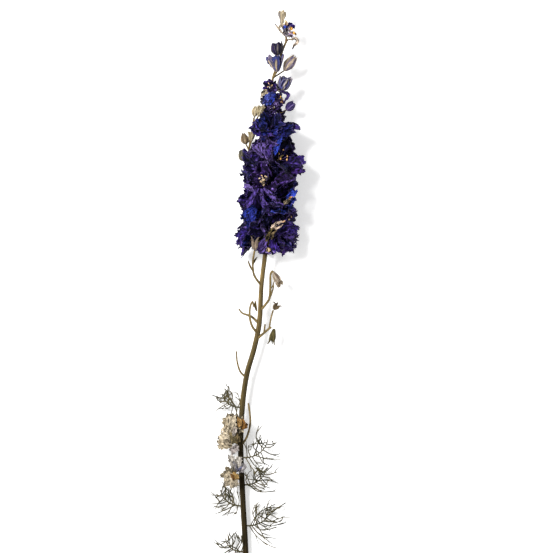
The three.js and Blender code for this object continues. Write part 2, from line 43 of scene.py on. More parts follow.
# ---- the spike's plan, in millimetres: X from the cut end to the tip, Y to the left, Z up ----
SHIFT = np.array([-250, -2.6, 0])  # from the plan to the frame's own middle
FLOOR_GAP = 0.12  # nothing comes closer to the surface than this
MIDDLE = 5.5  # from a floret's base to the middle of its cell, for a floret of size 1

# The main stem: distance from the cut end, place to the left, height, radius.
STEM = [
    (0, 2.6, 2, 2), (60, 5.6, 2.6, 1.95), (110, 8.2, 3.4, 1.9), (150, 9.8, 4.5, 1.85),
    (188, 11.7, 5.6, 1.8), (214, 12.8, 6.6, 1.8), (240, 11.8, 7.8, 1.75), (262, 8.9, 8.8, 1.75),
    (280, 3.8, 9.6, 1.7), (296, 0.6, 10.5, 1.65), (321, -0.9, 12, 1.5), (344, -3.6, 13.3, 1.45),
    (376, -5.5, 14.7, 1.25), (402, -7.5, 15.7, 1.05), (430, -8.5, 16.5, 0.85),
    (454, -8.1, 16.7, 0.75), (466, -12, 16.4, 0.7), (477, -15.9, 16, 0.7),
    (480.5, -17.2, 16, 0.75), (485, -16, 15.8, 0.6), (489.6, -14.3, 15.4, 0.55),
]

# Thin stalks: places along them, and their radius at both ends.
STALKS = [
    ((374.2, -5.3, 14.3), (384, -0.6, 12), (393, 4, 10), (404, 7.4, 9), (412, 7, 10),
      (423, 5, 13), (430, 4, 14), 0.75, 0.6),
    ((321, -0.6, 12.6), (328, 3.9, 16), (336, 4.6, 21), (343.4, 3.4, 25.5), 0.8, 0.65),
    ((305, -0.6, 11.4), (309, -3.9, 14), (313, -6.2, 15.4), (321, -6.7, 16.6),
      (327.6, -6.8, 17.2), (330, -7.8, 17.2), (329.3, -9, 17), 0.85, 0.6),
    ((297, 1.6, 11), (300.4, 5.2, 11.6), (301.6, 8, 11.6), (303, 11.7, 11.4),
      (305.6, 13.9, 11), 0.85, 0.55),
    ((290.5, 2.4, 11), (294.6, 5.2, 13.6), (300.4, 6.7, 15), (307, 6.4, 15.4),
      (310.4, 4.9, 15.4), (307, 4.1, 15.2), 0.85, 0.55),
    ((286.5, 1.4, 10.4), (290, -2.6, 12), (293, -6.2, 12.6), (293.6, -7.4, 12.5), 0.85, 0.65),
    ((293, -6, 12.4), (299, -7, 14), (305, -8.6, 15.2), 0.6, 0.5),
    ((290, -2.6, 12), (293, -2.9, 13.6), (295.6, -3.3, 14.6), 0.6, 0.5),
    ((261, 9.4, 9), (264.7, 13, 9.8), (271.2, 15, 10.2), (278, 15.4, 10.2), 0.75, 0.5),
    ((216, 12.2, 7), (222.5, 8.4, 8.6), (231.9, 6.4, 9.6), (244, 7.6, 9.8), 0.75, 0.6),
]

# The head's florets: distance from the cut end, turn round the stem from its upper side, size.
DENSE = [
    (358, -20, 1.2), (373, -30, 1.2), (386, 16, 1.25), (401, -34, 1.2), (408, 30, 1.15),
    (420, -4, 1), (370, 36, 1.1),
    (351, -70, 1.1), (364, -92, 1.1), (384, -88, 1.1), (394, 78, 1.1),
    (350, 66, 1.1), (379, 86, 1.1), (362, 106, 1.1),
    (353, 180, 1.1), (372, 170, 1.1), (392, -150, 1.1), (401, 155, 1.1), (410, -120, 1),
]
UPPER = [
    (429.5, -64, 0.48), (430, 40, 0.54), (432.5, -128, 0.5), (434, 118, 0.5), (436, -14, 0.5),
    (441, -50, 0.5), (441.5, 34, 0.56), (444.5, 175, 0.5), (447.5, -66, 0.55), (449, 6, 0.5),
    (343, -8, 0.45),
]
DENSE_STALK = 6
UPPER_STALK = 3.6

# Florets outside the head: base, facing, size, how far open.
LONE = [
    ("tip_floret", (485.2, -18, 17.4), (0.35, -0.45, 0.8), 0.46, 0.4),
    ("dry_flower", (328.8, -9.4, 16.9), (-0.86, -0.5, -0.1), 0.5, 0.12),
    ("faded_floret_1", (229.5, 15.6, 9.4), (0.1, 0.62, 0.78), 0.74, 1),
    ("faded_floret_2", (219.5, 18.6, 7.6), (0.42, 0.86, 0.26), 0.62, 0.15),
    ("faded_floret_3", (196, 17.2, 7.4), (0.12, 0.6, 0.8), 0.62, 0.8),
]

# Buds: where the stalk leaves the stem, the bud's foot and tip, its greatest width, its kind.
BUDS = [
    ("bud_tip", (487.6, -14.9, 15.6), (490.6, -14.1, 15.4), (500, -14.5, 15.2), 4.9, "club"),
    ("bud_dark", (466, -12, 16.4), (470.4, -11.4, 18.2), (478.8, -10.4, 19.4), 7.8, "dark"),
    ("bud_blue", (456, -8.3, 16.8), (459.4, -11.2, 20.4), (469.2, -9.6, 24.4), 9.2, "blue"),
    ("bud_striped", (455.8, -8.5, 16.7), (460.6, -15.8, 16.8), (469.8, -22.8, 18.2), 6.4, "striped"),
    ("bud_violet", (431, -8.5, 16.5), (435, -17.2, 17), (439.8, -22.4, 17.4), 5, "violet"),
    ("sprig_bud_1", (428, 4.4, 13.8), (431, 3.6, 14.4), (437.8, 2.8, 15), 4.4, "cream"),
    ("sprig_bud_2", (426, 4.7, 13.4), (430.6, 0.8, 22.4), (436.8, -1.2, 25), 4, "star"),
    ("sprig_bud_3", (409, 7.2, 9.7), (413.4, 9.3, 11), (420.8, 10.9, 11.6), 5.6, "tan"),
    ("sprig_bud_4", (411, 7, 9.9), (415, 5.6, 16.5), (421, 5.2, 18.5), 4, "star"),
    ("sprig_bud_5", (398, 5.2, 9.4), (402.6, 10.2, 8), (410, 13.2, 8), 5.8, "olive"),
]

# Seed pods, three to a bunch: foot, the way they point, length.
PODS = [
    ("seed_pods_1", (343.9, 3, 26.2), (0.93, 0.08, 0.33), 9.2),
    ("seed_pods_2", (292.6, -9.4, 12), (-0.9, 0.24, -0.1), 11.5),
    ("seed_pods_3", (305.5, -9, 15.4), (0.75, -0.55, 0.25), 5.4),
]

# Thread leaves: place along the stem, turn round it, length, number of threads.
LEAVES = [
    (241, 104, 18, 7), (208, -66, 26, 6), (190, -84, 20, 7), (176, 98, 20, 7),
    (163, -80, 24, 8), (146, 70, 18, 6), (92, -78, 24, 6),
]

# Colours, linear.
VIOLET = (0.037, 0.017, 0.16)
PLUM = (0.048, 0.019, 0.145)
NAVY = (0.011, 0.011, 0.096)
COBALT = (0.02, 0.038, 0.285)
DUSTY = (0.125, 0.082, 0.25)
LAVENDER = (0.265, 0.188, 0.445)
SLATE = (0.085, 0.095, 0.23)
CREAM = (0.42, 0.34, 0.235)
GOLD = (0.62, 0.3, 0.05)
TAN = (0.185, 0.135, 0.058)
BROWN = (0.09, 0.05, 0.022)


# ---- draws and curves ----
TURN = 2 * math.pi
GOLDEN_ANGLE = 2.39996
# The first seed of each kind of piece.
DENSE_SEED, UPPER_SEED, LONE_SEED, BUD_SEED, CALYX_SEED, CUP_SEED = 13, 101, 201, 400, 460, 470
POD_SEED, LEAF_SEED, BLADE_SEED, BRACT_SEED = 500, 700, 800, 900


def drawer(seed):
    """A function for the draws of one seed: draw n, from low to high."""
    def pick(n, low=0, high=1):
        s = math.sin(seed * 12.9898 + n * 78.233) * 43758.5453
        return low + (high - low) * (s - math.floor(s))
    return pick


def vec(*p):
    return np.array(p, float)


def unit(p):
    p = np.asarray(p, float)
    return p / max(np.linalg.norm(p), 1e-9)


def mixed(a, b, t):
    return np.asarray(a) * (1 - t) + np.asarray(b) * t


def smooth(t):
    t = np.clip(t, 0, 1)
    return t * t * (3 - 2 * t)


def follow(rows, x):
    """The values of rows at x, on a smooth curve through them."""
    rows = np.array(rows, float)
    at = np.clip(x, rows[0, 0], rows[-1, 0])
    k = np.clip(np.searchsorted(rows[:, 0], at) - 1, 0, len(rows) - 2)
    a, b = rows[k], rows[k + 1]
    span = b[0] - a[0]
    t = (at - a[0]) / span
    start, stop = b - rows[max(k - 1, 0)], rows[min(k + 2, len(rows) - 1)] - a
    bow = start / start[0] * (1 - t) - stop / stop[0] * t
    return (a + (b - a) * t * t * (3 - 2 * t) + span * t * (1 - t) * bow)[1:]


def stem_point(x):
    y, z, _ = follow(STEM, x)
    return vec(x, y, z)


def through(places, count):
    """Points on a smooth curve through places."""
    p = np.array(places, float)
    p = np.array([2 * p[0] - p[1], *p, 2 * p[-1] - p[-2]])
    s = (len(p) - 3) * np.arange(count) / (count - 1)
    k = np.minimum(s.astype(int), len(p) - 4)
    t = (s - k)[:, None]
    a, b, c, d = (p[k + n] for n in range(4))
    return 0.5 * (2 * b + (c - a) * t + (2 * a - 5 * b + 4 * c - d) * t * t
                  + (3 * b - a - 3 * c + d) * t ** 3)


def creases(x, y, seed, length):
    """Sharp folds of about that length in three directions, from -1 to 1."""
    pick = drawer(seed)
    total = 0
    for k in range(3):
        a = pick(40 + k, 0, math.pi)
        f = TURN / (length * pick(50 + k, 0.8, 1.3))
        phase = pick(60 + k, 0, TURN)
        warp = 0.9 * np.sin((x * math.sin(a) - y * math.cos(a)) * f * 0.45 + phase * 1.7)
        total = total + 1 - 2 * np.abs(np.sin(0.5 * ((x * math.cos(a) + y * math.sin(a)) * f
                                                     + phase + warp)))
    return total / 3


def folds(x, y, seed, kinds):
    """A sum of creases. Each kind gives its share, squeeze along y, seed's step and length."""
    return sum(share * creases(x, y * squeeze, seed + step, length)
               for share, squeeze, step, length in kinds)


def across_along(cols, rows):
    """Two grids: from -1 to 1 across, and from 0 to 1 along."""
    return np.meshgrid(np.linspace(-1, 1, cols), np.linspace(0, 1, rows))


# ---- meshes ----
SHEET = 0.16  # thickness of a petal
FULL_UP = 0.9  # a tube steeper than this starts its ring from the X axis


def put(name, data):
    thing = bpy.data.objects.new(name, data)
    bpy.context.scene.collection.objects.link(thing)
    return thing


class Shape:
    """A mesh in the making: points, faces, a tint and a grain place for each point."""

    def __init__(self):
        self.points, self.faces, self.tints, self.grains, self.count = [], [], [], [], 0

    def add(self, points, faces, tint, grain):
        points = np.asarray(points, float).reshape(-1, 3)
        self.points.append(points)
        for rows, values in ((self.tints, tint), (self.grains, grain)):
            rows.append(np.broadcast_to(np.reshape(values, (-1, 3)), points.shape))
        self.faces += [np.asarray(f) + self.count for f in faces if len(f)]
        self.count += len(points)

    def sheet(self, grid, tint, grain, thickness=SHEET):
        """A closed thin solid on both sides of a grid of points."""
        rows, cols = grid.shape[:2]
        along, across = np.gradient(grid, axis=0), np.gradient(grid, axis=1)
        normal = np.cross(across, along)
        normal /= np.maximum(np.linalg.norm(normal, axis=2, keepdims=True), 1e-9)
        both = np.concatenate([grid + normal * thickness / 2, grid - normal * thickness / 2])
        n = np.arange(rows * cols).reshape(rows, cols)
        a, b, c, d = n[:-1, :-1], n[:-1, 1:], n[1:, 1:], n[1:, :-1]
        top = np.stack([a, b, c, d], -1).reshape(-1, 4)
        under = np.stack([a, d, c, b], -1).reshape(-1, 4) + rows * cols
        rim = np.concatenate([n[0, :], n[1:, -1], n[-1, -2::-1], n[-2:0:-1, 0]])
        after = np.roll(rim, -1)
        side = np.stack([after, rim, rim + rows * cols, after + rows * cols], -1)
        self.add(both, [top, under, side], np.concatenate([tint, tint]),
                 np.concatenate([grain, grain]))

    def tube(self, points, radii, sides, tint, ripple=None, stretch=0.12, seed=0):
        """A closed tube. ripple(angle, share of the length) changes its radius, tint may be a
        function of the same two. stretch squeezes the grain along it."""
        points = np.asarray(points, float)
        k = len(points)
        radii = np.broadcast_to(np.asarray(radii, float), (k,))
        ahead = np.gradient(points, axis=0)
        ahead /= np.maximum(np.linalg.norm(ahead, axis=1, keepdims=True), 1e-9)
        across = np.zeros((k, 3))
        side = vec(0, 0, 1) if abs(ahead[0][2]) < FULL_UP else vec(1, 0, 0)
        for i in range(k):
            side = unit(side - ahead[i] * np.dot(side, ahead[i]))
            across[i] = side
        third = np.cross(ahead, across)
        angle = np.linspace(0, TURN, sides, endpoint=False)[None, :]
        share = np.linspace(0, 1, k)[:, None]
        radius = radii[:, None] * (1 + (ripple(angle, share) if ripple else 0)) + 0 * angle
        ring = (points[:, None] + across[:, None] * (radius * np.cos(angle))[..., None]
                + third[:, None] * (radius * np.sin(angle))[..., None])
        length = np.concatenate([[0], np.cumsum(np.linalg.norm(np.diff(points, axis=0), axis=1))])
        grain = np.stack([radius * np.cos(angle) + seed * 3.7, radius * np.sin(angle),
                          length[:, None] * stretch + 0 * angle], -1)
        colour = tint(angle + 0 * share, share + 0 * angle) if callable(tint) else tint
        colour = np.broadcast_to(colour, ring.shape)
        n = np.arange(k * sides).reshape(k, sides)
        nxt = np.roll(n, -1, axis=1)
        quads = np.stack([n[:-1], nxt[:-1], nxt[1:], n[1:]], -1).reshape(-1, 4)
        start = np.stack([np.full(sides, k * sides), nxt[0], n[0]], -1)
        stop = np.stack([np.full(sides, k * sides + 1), n[-1], nxt[-1]], -1)

        def closed(values, first, last):
            return np.concatenate([values.reshape(-1, 3), [first], [last]])

        self.add(closed(ring, points[0], points[-1]), [quads, start, stop],
                 closed(colour, colour[0, 0], colour[-1, 0]), closed(grain, grain[0, 0], grain[-1, 0]))

    def piece(self, name, material, slot, *nodes):
        points = np.concatenate(self.points)
        points[:, 2] = np.maximum(points[:, 2], FLOOR_GAP)
        points = (points + SHIFT) / 1000
        mesh = bpy.data.meshes.new(name)
        corners = np.concatenate([f.reshape(-1) for f in self.faces])
        totals = np.concatenate([np.full(len(f), f.shape[1]) for f in self.faces])
        starts = np.concatenate([[0], np.cumsum(totals)[:-1]])
        for part, key, kind, values in (
                (mesh.vertices, "co", np.float32, points),
                (mesh.loops, "vertex_index", np.int32, corners),
                (mesh.polygons, "loop_start", np.int32, starts)):
            part.add(len(values))
            part.foreach_set(key, values.astype(kind).ravel())
        mesh.polygons.foreach_set("use_smooth", np.ones(len(starts), bool))
        mesh.update(calc_edges=True)
        rgba = np.insert(np.concatenate(self.tints), 3, 1, axis=1)
        for key, kind, field, values in (
                ("tint", "FLOAT_COLOR", "color", rgba),
                ("grain", "FLOAT_VECTOR", "vector", np.concatenate(self.grains))):
            data = mesh.attributes.new(key, kind, "POINT").data
            data.foreach_set(field, values.astype(np.float32).ravel())
        mesh.materials.append(material)
        thing = put(name, mesh)
        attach(thing, "root")
        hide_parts(*nodes)


# ---- materials ----
RIDGE = 0.13  # half the width of a wrinkle's crest in the wide noise
CRISP = (0.4, 0.6)  # the part of the fine noise that its fibres take up
SHADE = (0.8, 2.1)  # wrinkle crests with painted highlights and painted shade between them, fibre and blotch together, from darkest to lightest
ROUGH_SPREAD = 0.12
BUMP_DEPTH = 0.0005  # metres


def dry_material(name, rough, wrinkle, fibre, blotch, relief, contrast, shine):
    """Dry plant matter: the tint, broken up by sharp wrinkles and fibres along the grain; the wrinkle
    crests are lightened and the hollows between them darkened, as painted highlights and painted shade.
    """
    m = bpy.data.materials.new(name)
    m.use_nodes = True
    nodes, links = m.node_tree.nodes, m.node_tree.links

    def fill(inputs, values):
        """Give inputs their values: numbers, or other nodes' outputs."""
        for key, value in values.items():
            if isinstance(value, (int, float)):
                inputs[key].default_value = value
            else:
                links.new(value, inputs[key])

    def node(kind, values, **settings):
        made = nodes.new("ShaderNode" + kind)
        for key, value in settings.items():
            setattr(made, key, value)
        fill(made.inputs, values)
        return made.outputs

    def maths(operation, a, b=0):
        return node("Math", {0: a, 1: b}, operation=operation)[0]

    def ranged(value, low, high, start, end):
        return node("MapRange", {"Value": value, 1: low, 2: high, 3: start, 4: end})["Result"]

    def noise(place, scale, detail):
        return node("TexNoise", {"Vector": place, "Scale": scale, "Detail": detail,
                                 "Distortion": 0.4})["Fac"]

    grain = node("Attribute", {}, attribute_name="grain")["Vector"]
    wide, fine = noise(grain, wrinkle, 2), noise(grain, fibre, 2)
    coarse = noise(node("TexCoord", {})["Object"], blotch, 3)
    crest = ranged(maths("ABSOLUTE", maths("SUBTRACT", wide, 0.5)), 0, RIDGE, 1, 0)
    height = maths("ADD", crest, ranged(fine, *CRISP, 0, 1))
    # The wrinkle crests lighten the base colour and the hollows darken it: painted highlights and
    # painted shade, together with the fibres' and blotches' own tone.
    painted_light_and_tone = ranged(maths("ADD", height, coarse), *SHADE, 1 - contrast, 1 + 1.5 * contrast)
    tint = node("Attribute", {}, attribute_name="tint")["Color"]
    fill(nodes["Principled BSDF"].inputs, {
        "Base Color": node("VectorMath", {0: tint, "Scale": painted_light_and_tone}, operation="SCALE")["Vector"],
        "Roughness": ranged(fine, 0, 1, rough - ROUGH_SPREAD, rough + ROUGH_SPREAD),
        "Normal": node("Bump", {"Strength": relief, "Distance": BUMP_DEPTH,
                                "Height": height})["Normal"],
        "Specular IOR Level": shine})
    return m


# Name, roughness, scale of wrinkles, fibres and blotches, relief, contrast of the painted wrinkle light
# and shade and of the tone, shine.
PETAL, PAPER, HUSK, STALK = (dry_material(*row) for row in (
    ("dry_petal", 0.6, 0.6, 1, 260, 0.9, 0.97, 0.12),
    ("dry_faded", 0.7, 0.6, 1.1, 260, 0.8, 0.5, 0.12),
    ("dry_husk", 0.7, 0.6, 1.8, 300, 0.6, 0.36, 0.2),
    ("dry_stalk", 0.7, 0.8, 2.4, 160, 0.4, 0.3, 0.08)))


# ---- florets ----
NEIGHBOURS = 45  # florets further away than this don't press on each other
FLOOR_WALL = (vec(0, 0, 0.25), vec(0, 0, -1))
WALL_CREASE = 0.16  # share by which a wall's distance wavers
SOFT = 3  # how far before a wall a petal starts to bend


def floret_place(x, turn, size, stalk, seed):
    """A floret of the head at the end of its stalk, a little off its turn."""
    pick = drawer(seed)
    angle = math.radians(turn + pick(1, -9, 9))
    lift = math.radians(pick(2, 2, 34))
    out = vec(0, math.sin(angle), math.cos(angle))
    facing = out * math.cos(lift) + vec(math.sin(lift), 0, 0)
    base = stem_point(x) + out * stalk
    sway = vec(pick(90, -1, 1), pick(91, -1, 1), pick(92, -1, 1))
    return SimpleNamespace(x=x, facing=facing, base=base, centre=base + facing * MIDDLE * size,
                           look=unit(facing + 0.28 * sway), size=size, seed=seed, flow=0.35)


def cell_walls(floret, florets, reach):
    """The surface, and walls round a floret, reach past half way to its neighbours."""
    walls = [FLOOR_WALL]
    for other in florets:
        away = other.centre - floret.centre
        gap = np.linalg.norm(away)
        if other is floret or gap > NEIGHBOURS:
            continue
        share = floret.size / (floret.size + other.size)
        walls.append((floret.centre + away * share + away / gap * reach, away / gap))
    return walls


def pressed(points, centre, walls, soft, seed):
    """Points drawn towards the cell's middle until they are inside its uneven walls."""
    way = points - centre
    distance = np.maximum(np.linalg.norm(way, axis=-1), 1e-6)
    way = way / distance[..., None]
    limit = np.full(distance.shape, 1e3)
    for point, away in walls:
        towards = way @ away
        reach = np.dot(point - centre, away) / np.maximum(towards, 1e-6)
        limit = np.where(towards > 1e-3, np.minimum(limit, reach), limit)
    limit = limit * (1 + WALL_CREASE * creases(way[..., 0] * 5, way[..., 1] * 5, seed, 2.2))
    margin = np.minimum(soft, limit / 2)
    over = distance > limit - margin
    kept = np.where(over, limit - margin * np.exp(-np.maximum(distance - limit + margin, 0)
                                                  / np.maximum(margin, 1e-6)), distance)
    return centre + way * kept[..., None]


def across_of(facing):
    """Two directions square to facing and to each other."""
    first = unit(vec(1, 0, 0) - facing * facing[0])
    return first, np.cross(facing, first)


# A petal's wrinkles: share, squeeze along it, seed's step, length.
PETAL_FOLDS = ((0.42, 0.5, 0, 4.4), (0.36, 0.6, 3, 2.3), (0.22, 0.7, 2, 1.4))
# Its frayed rim: share, seed's step, length, how late it sets in.
PETAL_FRILLS = ((0.15, 5, 3.4, 3), (0.07, 4, 1.5, 4))
FOOT_WIDTH = 0.14  # share of its width at its foot
FULL_WIDTH_AT = 0.62  # share of its length


def petal(shape, floret, walls, ring, grid, seed, turn, pale, edge):
    """One crumpled petal of a ring. u runs across it from -1 to 1, v along it from 0 to 1."""
    lean, bend, length, width, root, rise, roll, cup, ruffle, crumple = ring
    pick = drawer(seed)
    size, stretch, deep = floret.size, floret.stretch, floret.deep
    lean = pick(2, *lean) * (0.3 + 0.7 * floret.open)
    bend = pick(3, *bend) * (0.2 + 0.8 * floret.open)
    length = size * stretch * pick(4, *length)
    width = size * stretch ** 0.5 * pick(5, *width)
    roll, cup = pick(6, *roll), cup * (1 if pick(14) > 0.25 else -0.8)
    crumple = crumple * size
    colour = np.array(floret.palette[int(pick(21) * len(floret.palette))])
    first, second = across_of(floret.look)
    radial = first * math.cos(turn) + second * math.sin(turn)
    sideways = np.cross(floret.look, radial)
    u, v = across_along(*grid)
    frill = sum(share * creases(u * width * 0.5, v * 0, seed + step, fray) * v ** late
                for share, step, fray, late in PETAL_FRILLS)
    s = v * (1 - pick(15, 0.15, 0.55) * np.abs(u) ** (1.2 + pick(9)) * v) + frill
    widening = np.sin(np.pi / 2 * np.clip(v / FULL_WIDTH_AT, 0, 1)) ** 1.25
    half = width / 2 * (FOOT_WIDTH + (1 - FOOT_WIDTH) * widening)
    half = half * (1 + 0.16 * creases(v * length, u * 3, seed + 6, 4.2) * v)
    across = half * np.sin(u * roll) / roll
    x, y = u * half, s * length
    pleat = np.sin(u * math.pi * pick(11, 1.6, 3.4) + pick(12, 0, 6.28)
                   + 0.9 * np.sin(v * 4 + seed))
    ridge = 0.4 * pleat * v ** 0.7 + 1.05 * folds(x, y, seed, PETAL_FOLDS)
    wave = ruffle * size * v ** 1.5 * (0.3 + 0.7 * np.abs(u)) * np.sin(
        pick(8, 0, TURN) + u * pick(13, 2, 4.2) + 3.6 * v)
    height = half * (1 - np.cos(u * roll)) / roll * cup + wave
    height = height + crumple * ridge * (0.15 + 0.85 * smooth(v / 0.5))
    angle = lean + bend * s
    reach = length * (math.cos(lean) - np.cos(angle)) / bend
    lift = length * (np.sin(angle) - math.sin(lean)) / bend
    drift = crumple * 0.9 * creases(x + 7, y, seed + 8, 3.4) * v
    drift = drift + pick(18, -0.28, 0.28) * length * v * v
    twist = pick(17, -0.9, 0.9) * smooth(v / 0.7)
    across, height = (across * np.cos(twist) - height * np.sin(twist),
                      across * np.sin(twist) + height * np.cos(twist))
    grid = (floret.base + radial * (root + reach - height * np.cos(angle))[..., None]
            + floret.look * (rise * size + lift + height * np.sin(angle))[..., None]
            + sideways * (across + drift)[..., None])
    grid = pressed(grid, floret.centre, walls, SOFT, seed)
    grid[..., 2] = np.maximum(grid[..., 2], 0.22 + 0.12 * np.abs(ridge))
    # Painted light: the crumple's ridges are lightened as painted highlights and its valleys darkened as
    # painted shade.
    light = smooth((ridge + 0.75) / 1.5)[..., None]
    colour = colour * (1 - 0.9 * deep + (0.9 * deep + 0.28) * light ** 2)
    # A painted highlight: the pale colour laid on the highest ridges.
    colour = mixed(colour, pale, 0.62 * np.clip(light - 0.7, 0, 1) / 0.3 * pick(16, 0.2, 1))
    rim = np.maximum(smooth((v - 0.9) / 0.1), smooth((np.abs(u) - 0.86) / 0.14) * v)[..., None]
    colour = mixed(colour, edge, 0.25 * rim)
    # Painted shade, darker towards the petal's foot inside the floret.
    colour = colour * (1 - deep * 0.55 * (1 - smooth(v / 0.6)))[..., None]
    grain = np.stack([x, y * floret.flow, np.full_like(x, seed * 1.7)], -1)
    shape.sheet(grid, colour, grain)


PALETTES = {
    "violet": (VIOLET, PLUM, VIOLET, PLUM, VIOLET, mixed(VIOLET, NAVY, 0.5), VIOLET, NAVY,
               mixed(VIOLET, DUSTY, 0.6)),
    "blue": (VIOLET, NAVY, PLUM, mixed(VIOLET, NAVY, 0.5), mixed(NAVY, COBALT, 0.25)),
    "navy": (NAVY, VIOLET, NAVY, mixed(NAVY, COBALT, 0.3), VIOLET, NAVY),
    "cobalt": (COBALT, VIOLET, NAVY, mixed(COBALT, NAVY, 0.5), VIOLET),
    "dusty": (DUSTY, VIOLET, mixed(VIOLET, DUSTY, 0.5), PLUM, mixed(DUSTY, LAVENDER, 0.4)),
    "slate": (SLATE, mixed(SLATE, NAVY, 0.4), mixed(SLATE, CREAM, 0.25)),
}


def ringed(shape, floret, rings, walls, grids, pale, edge):
    """Rings of petals."""
    for k, (count, *ring) in enumerate(rings):
        start = drawer(floret.seed)(30 + k, 0, TURN)
        for n in range(count):
            seed = floret.seed * 31 + n * 7 + 500 * k
            turn = start + TURN * (n + drawer(seed)(1, -0.34, 0.34)) / count
            petal(shape, floret, walls, ring, grids[min(k, len(grids) - 1)], seed, turn, pale, edge)


# A ring: the number of petals, from-to pairs for their lean, bend, length and width, then root,
# rise, the roll's pair, cup, ruffle and crumple.
VIOLET_RINGS = [
    (6, (0.85, 1.3), (0.2, 0.8), (12.5, 17), (8, 12), 1, 0.4, (0.3, 0.9), 0.3, 1.9, 1.1),
    (6, (0.5, 1), (0.2, 0.9), (11, 15), (6.5, 10), 0.9, 0.9, (0.3, 1), 0.3, 1.8, 1.15),
    (5, (0.15, 0.7), (0.2, 0.9), (7, 12), (4.5, 7.5), 0.8, 1.3, (0.4, 1.2), 0.4, 1.3, 0.95),
]
BROAD_RINGS = [
    (5, (0.8, 1.25), (0.2, 0.8), (13, 17.5), (12, 16), 1, 0.4, (0.2, 0.6), 0.3, 1.9, 1),
    (4, (0.35, 0.9), (0.2, 0.9), (10.5, 14.5), (9.5, 13), 0.9, 0.9, (0.3, 0.8), 0.3, 1.7, 1),
    (2, (0.2, 0.6), (0.2, 0.9), (6, 9), (4.5, 6.5), 0.8, 1.3, (0.4, 1.2), 0.4, 1.3, 0.9),
]
OPEN_RINGS = VIOLET_RINGS[:2] + [
    (5, (0.7, 1), (0.3, 0.8), (6.5, 9.5), (4.5, 7), 1.2, 1, (0.4, 1.2), 0.4, 1, 0.8),
]

# A blade's width from foot to tip, as a share of its greatest.
SLENDER = (0.35, 0.9, 1, 0.75, 0.08)
STRAP = (0.35, 0.9, 1, 0.75, 0.15)
PADDLE = (0.4, 0.75, 1, 1, 0.7)
BROAD_BLADE = 3.4  # a wider blade is a paddle
BLADE_FOLDS = ((0.6, 0.6, 0, 2.6), (0.4, 1, 1, 1.4))


def ribbon(shape, places, width, tint, seed, cup=0.35, crumple=0.3, ragged=0, cols=7, rows=16,
           profile=SLENDER):
    """A narrow crumpled blade through places."""
    path = through(places, rows)
    ahead = np.gradient(path, axis=0)
    ahead /= np.linalg.norm(ahead, axis=1, keepdims=True)
    side = np.cross(ahead, vec(0, 0, 1))
    side /= np.maximum(np.linalg.norm(side, axis=1, keepdims=True), 1e-6)
    over = np.cross(side, ahead)
    t = np.linspace(0, 1, rows)
    half = (np.interp(t, np.linspace(0, 1, len(profile)), profile) * width / 2)[:, None]
    u = np.linspace(-1, 1, cols)[None, :]
    length = np.sum(np.linalg.norm(np.diff(path, axis=0), axis=1))
    y = (t * length)[:, None] + 0 * u
    half = half * (1 + ragged * 0.5 * creases(y, 4 * np.sign(u), seed + 2, 1.9))
    x = u * half
    fold = folds(x, y, seed, BLADE_FOLDS)
    lift = cup * u * u * half + crumple * fold * np.minimum(1, half)
    jag = ragged * half * 0.7 * creases(x, 0 * y, seed + 3, 1.3) * (y / length) ** 3
    grid = (path[:, None] + side[:, None] * x[..., None] + over[:, None] * lift[..., None]
            + ahead[:, None] * jag[..., None])
    # Painted shade in the blade's folds and painted highlights on their crests.
    colour = np.asarray(tint) * (0.45 + 0.85 * smooth((fold + 0.8) / 1.6)[..., None])
    grain = np.stack([x, y * 0.35, np.full_like(y, seed * 1.3)], -1)
    shape.sheet(grid, colour, grain)


def blades(shape, rows):
    """Blades given one by one: places along each, its width and colour."""
    for n, (*places, width, tint) in enumerate(rows):
        broad = width > BROAD_BLADE
        ribbon(shape, places, width, tint, BLADE_SEED + n, cup=0.5,
               crumple=0.8 if broad else 0.45, ragged=0.8, cols=17 if broad else 9, rows=22,
               profile=PADDLE if broad else STRAP)


HEART_PARTS = {"gold": (5, 1), "cream": (11, 5), "few": (3, 1)}  # anthers, carpels
ANTHER = np.array([0.12, 0.42, 0.5, 0.42, 0.12])  # its radius from end to end
CARPEL = np.array([0.4, 0.75, 0.8, 0.65, 0.45, 0.3, 0.12])


def stamens(shape, floret, kind):
    """The floret's heart: anthers on threads round the carpels."""
    size, facing, base = floret.size, floret.look, floret.base
    first, second = across_of(facing)
    reach = 8.5 * size ** 0.6
    threads, carpels = HEART_PARTS[kind]
    small = 0.2 + 0.72 * size
    cream = kind == "cream"

    def spread_way(turn, spread):
        return unit(facing + (first * math.cos(turn) + second * math.sin(turn)) * spread)

    for n in range(threads):
        s = floret.seed * 17 + n
        pick = drawer(s)
        way = spread_way(n * GOLDEN_ANGLE + pick(1, -0.3, 0.3), pick(2, 0.15, 0.5))
        length = reach * pick(3, 0.75, 1.1)
        tip = base + way * length + vec(0, 0, pick(4, -0.4, 0.4))
        shape.tube(through([base, base + way * length * 0.5, tip], 5), 0.16, 4,
                   mixed(DUSTY, CREAM, 0.6 if cream else 0), seed=s)
        side = unit(np.cross(way, vec(0.3, 0.5, 0.8)))
        ends = [tip + side * d for d in (-0.7, -0.35, 0, 0.35, 0.7)]
        pale = pick(5, 0, 0.5) if kind == "gold" else pick(5, 0.5, 1)
        shape.tube(ends, small * ANTHER, 6, mixed(GOLD, CREAM, pale), seed=s)
    for n in range(carpels):
        s = floret.seed * 19 + n
        way = spread_way(n * GOLDEN_ANGLE, drawer(s)(1, 0.1, 0.4))
        middle, tip = base + way * reach * 0.5, base + facing * reach * 0.85 + way * 0.8
        shape.tube(through([base, middle, tip], 7), small * CARPEL, 7,
                   mixed(CREAM, TAN, 0.3) if cream else TAN, seed=s)


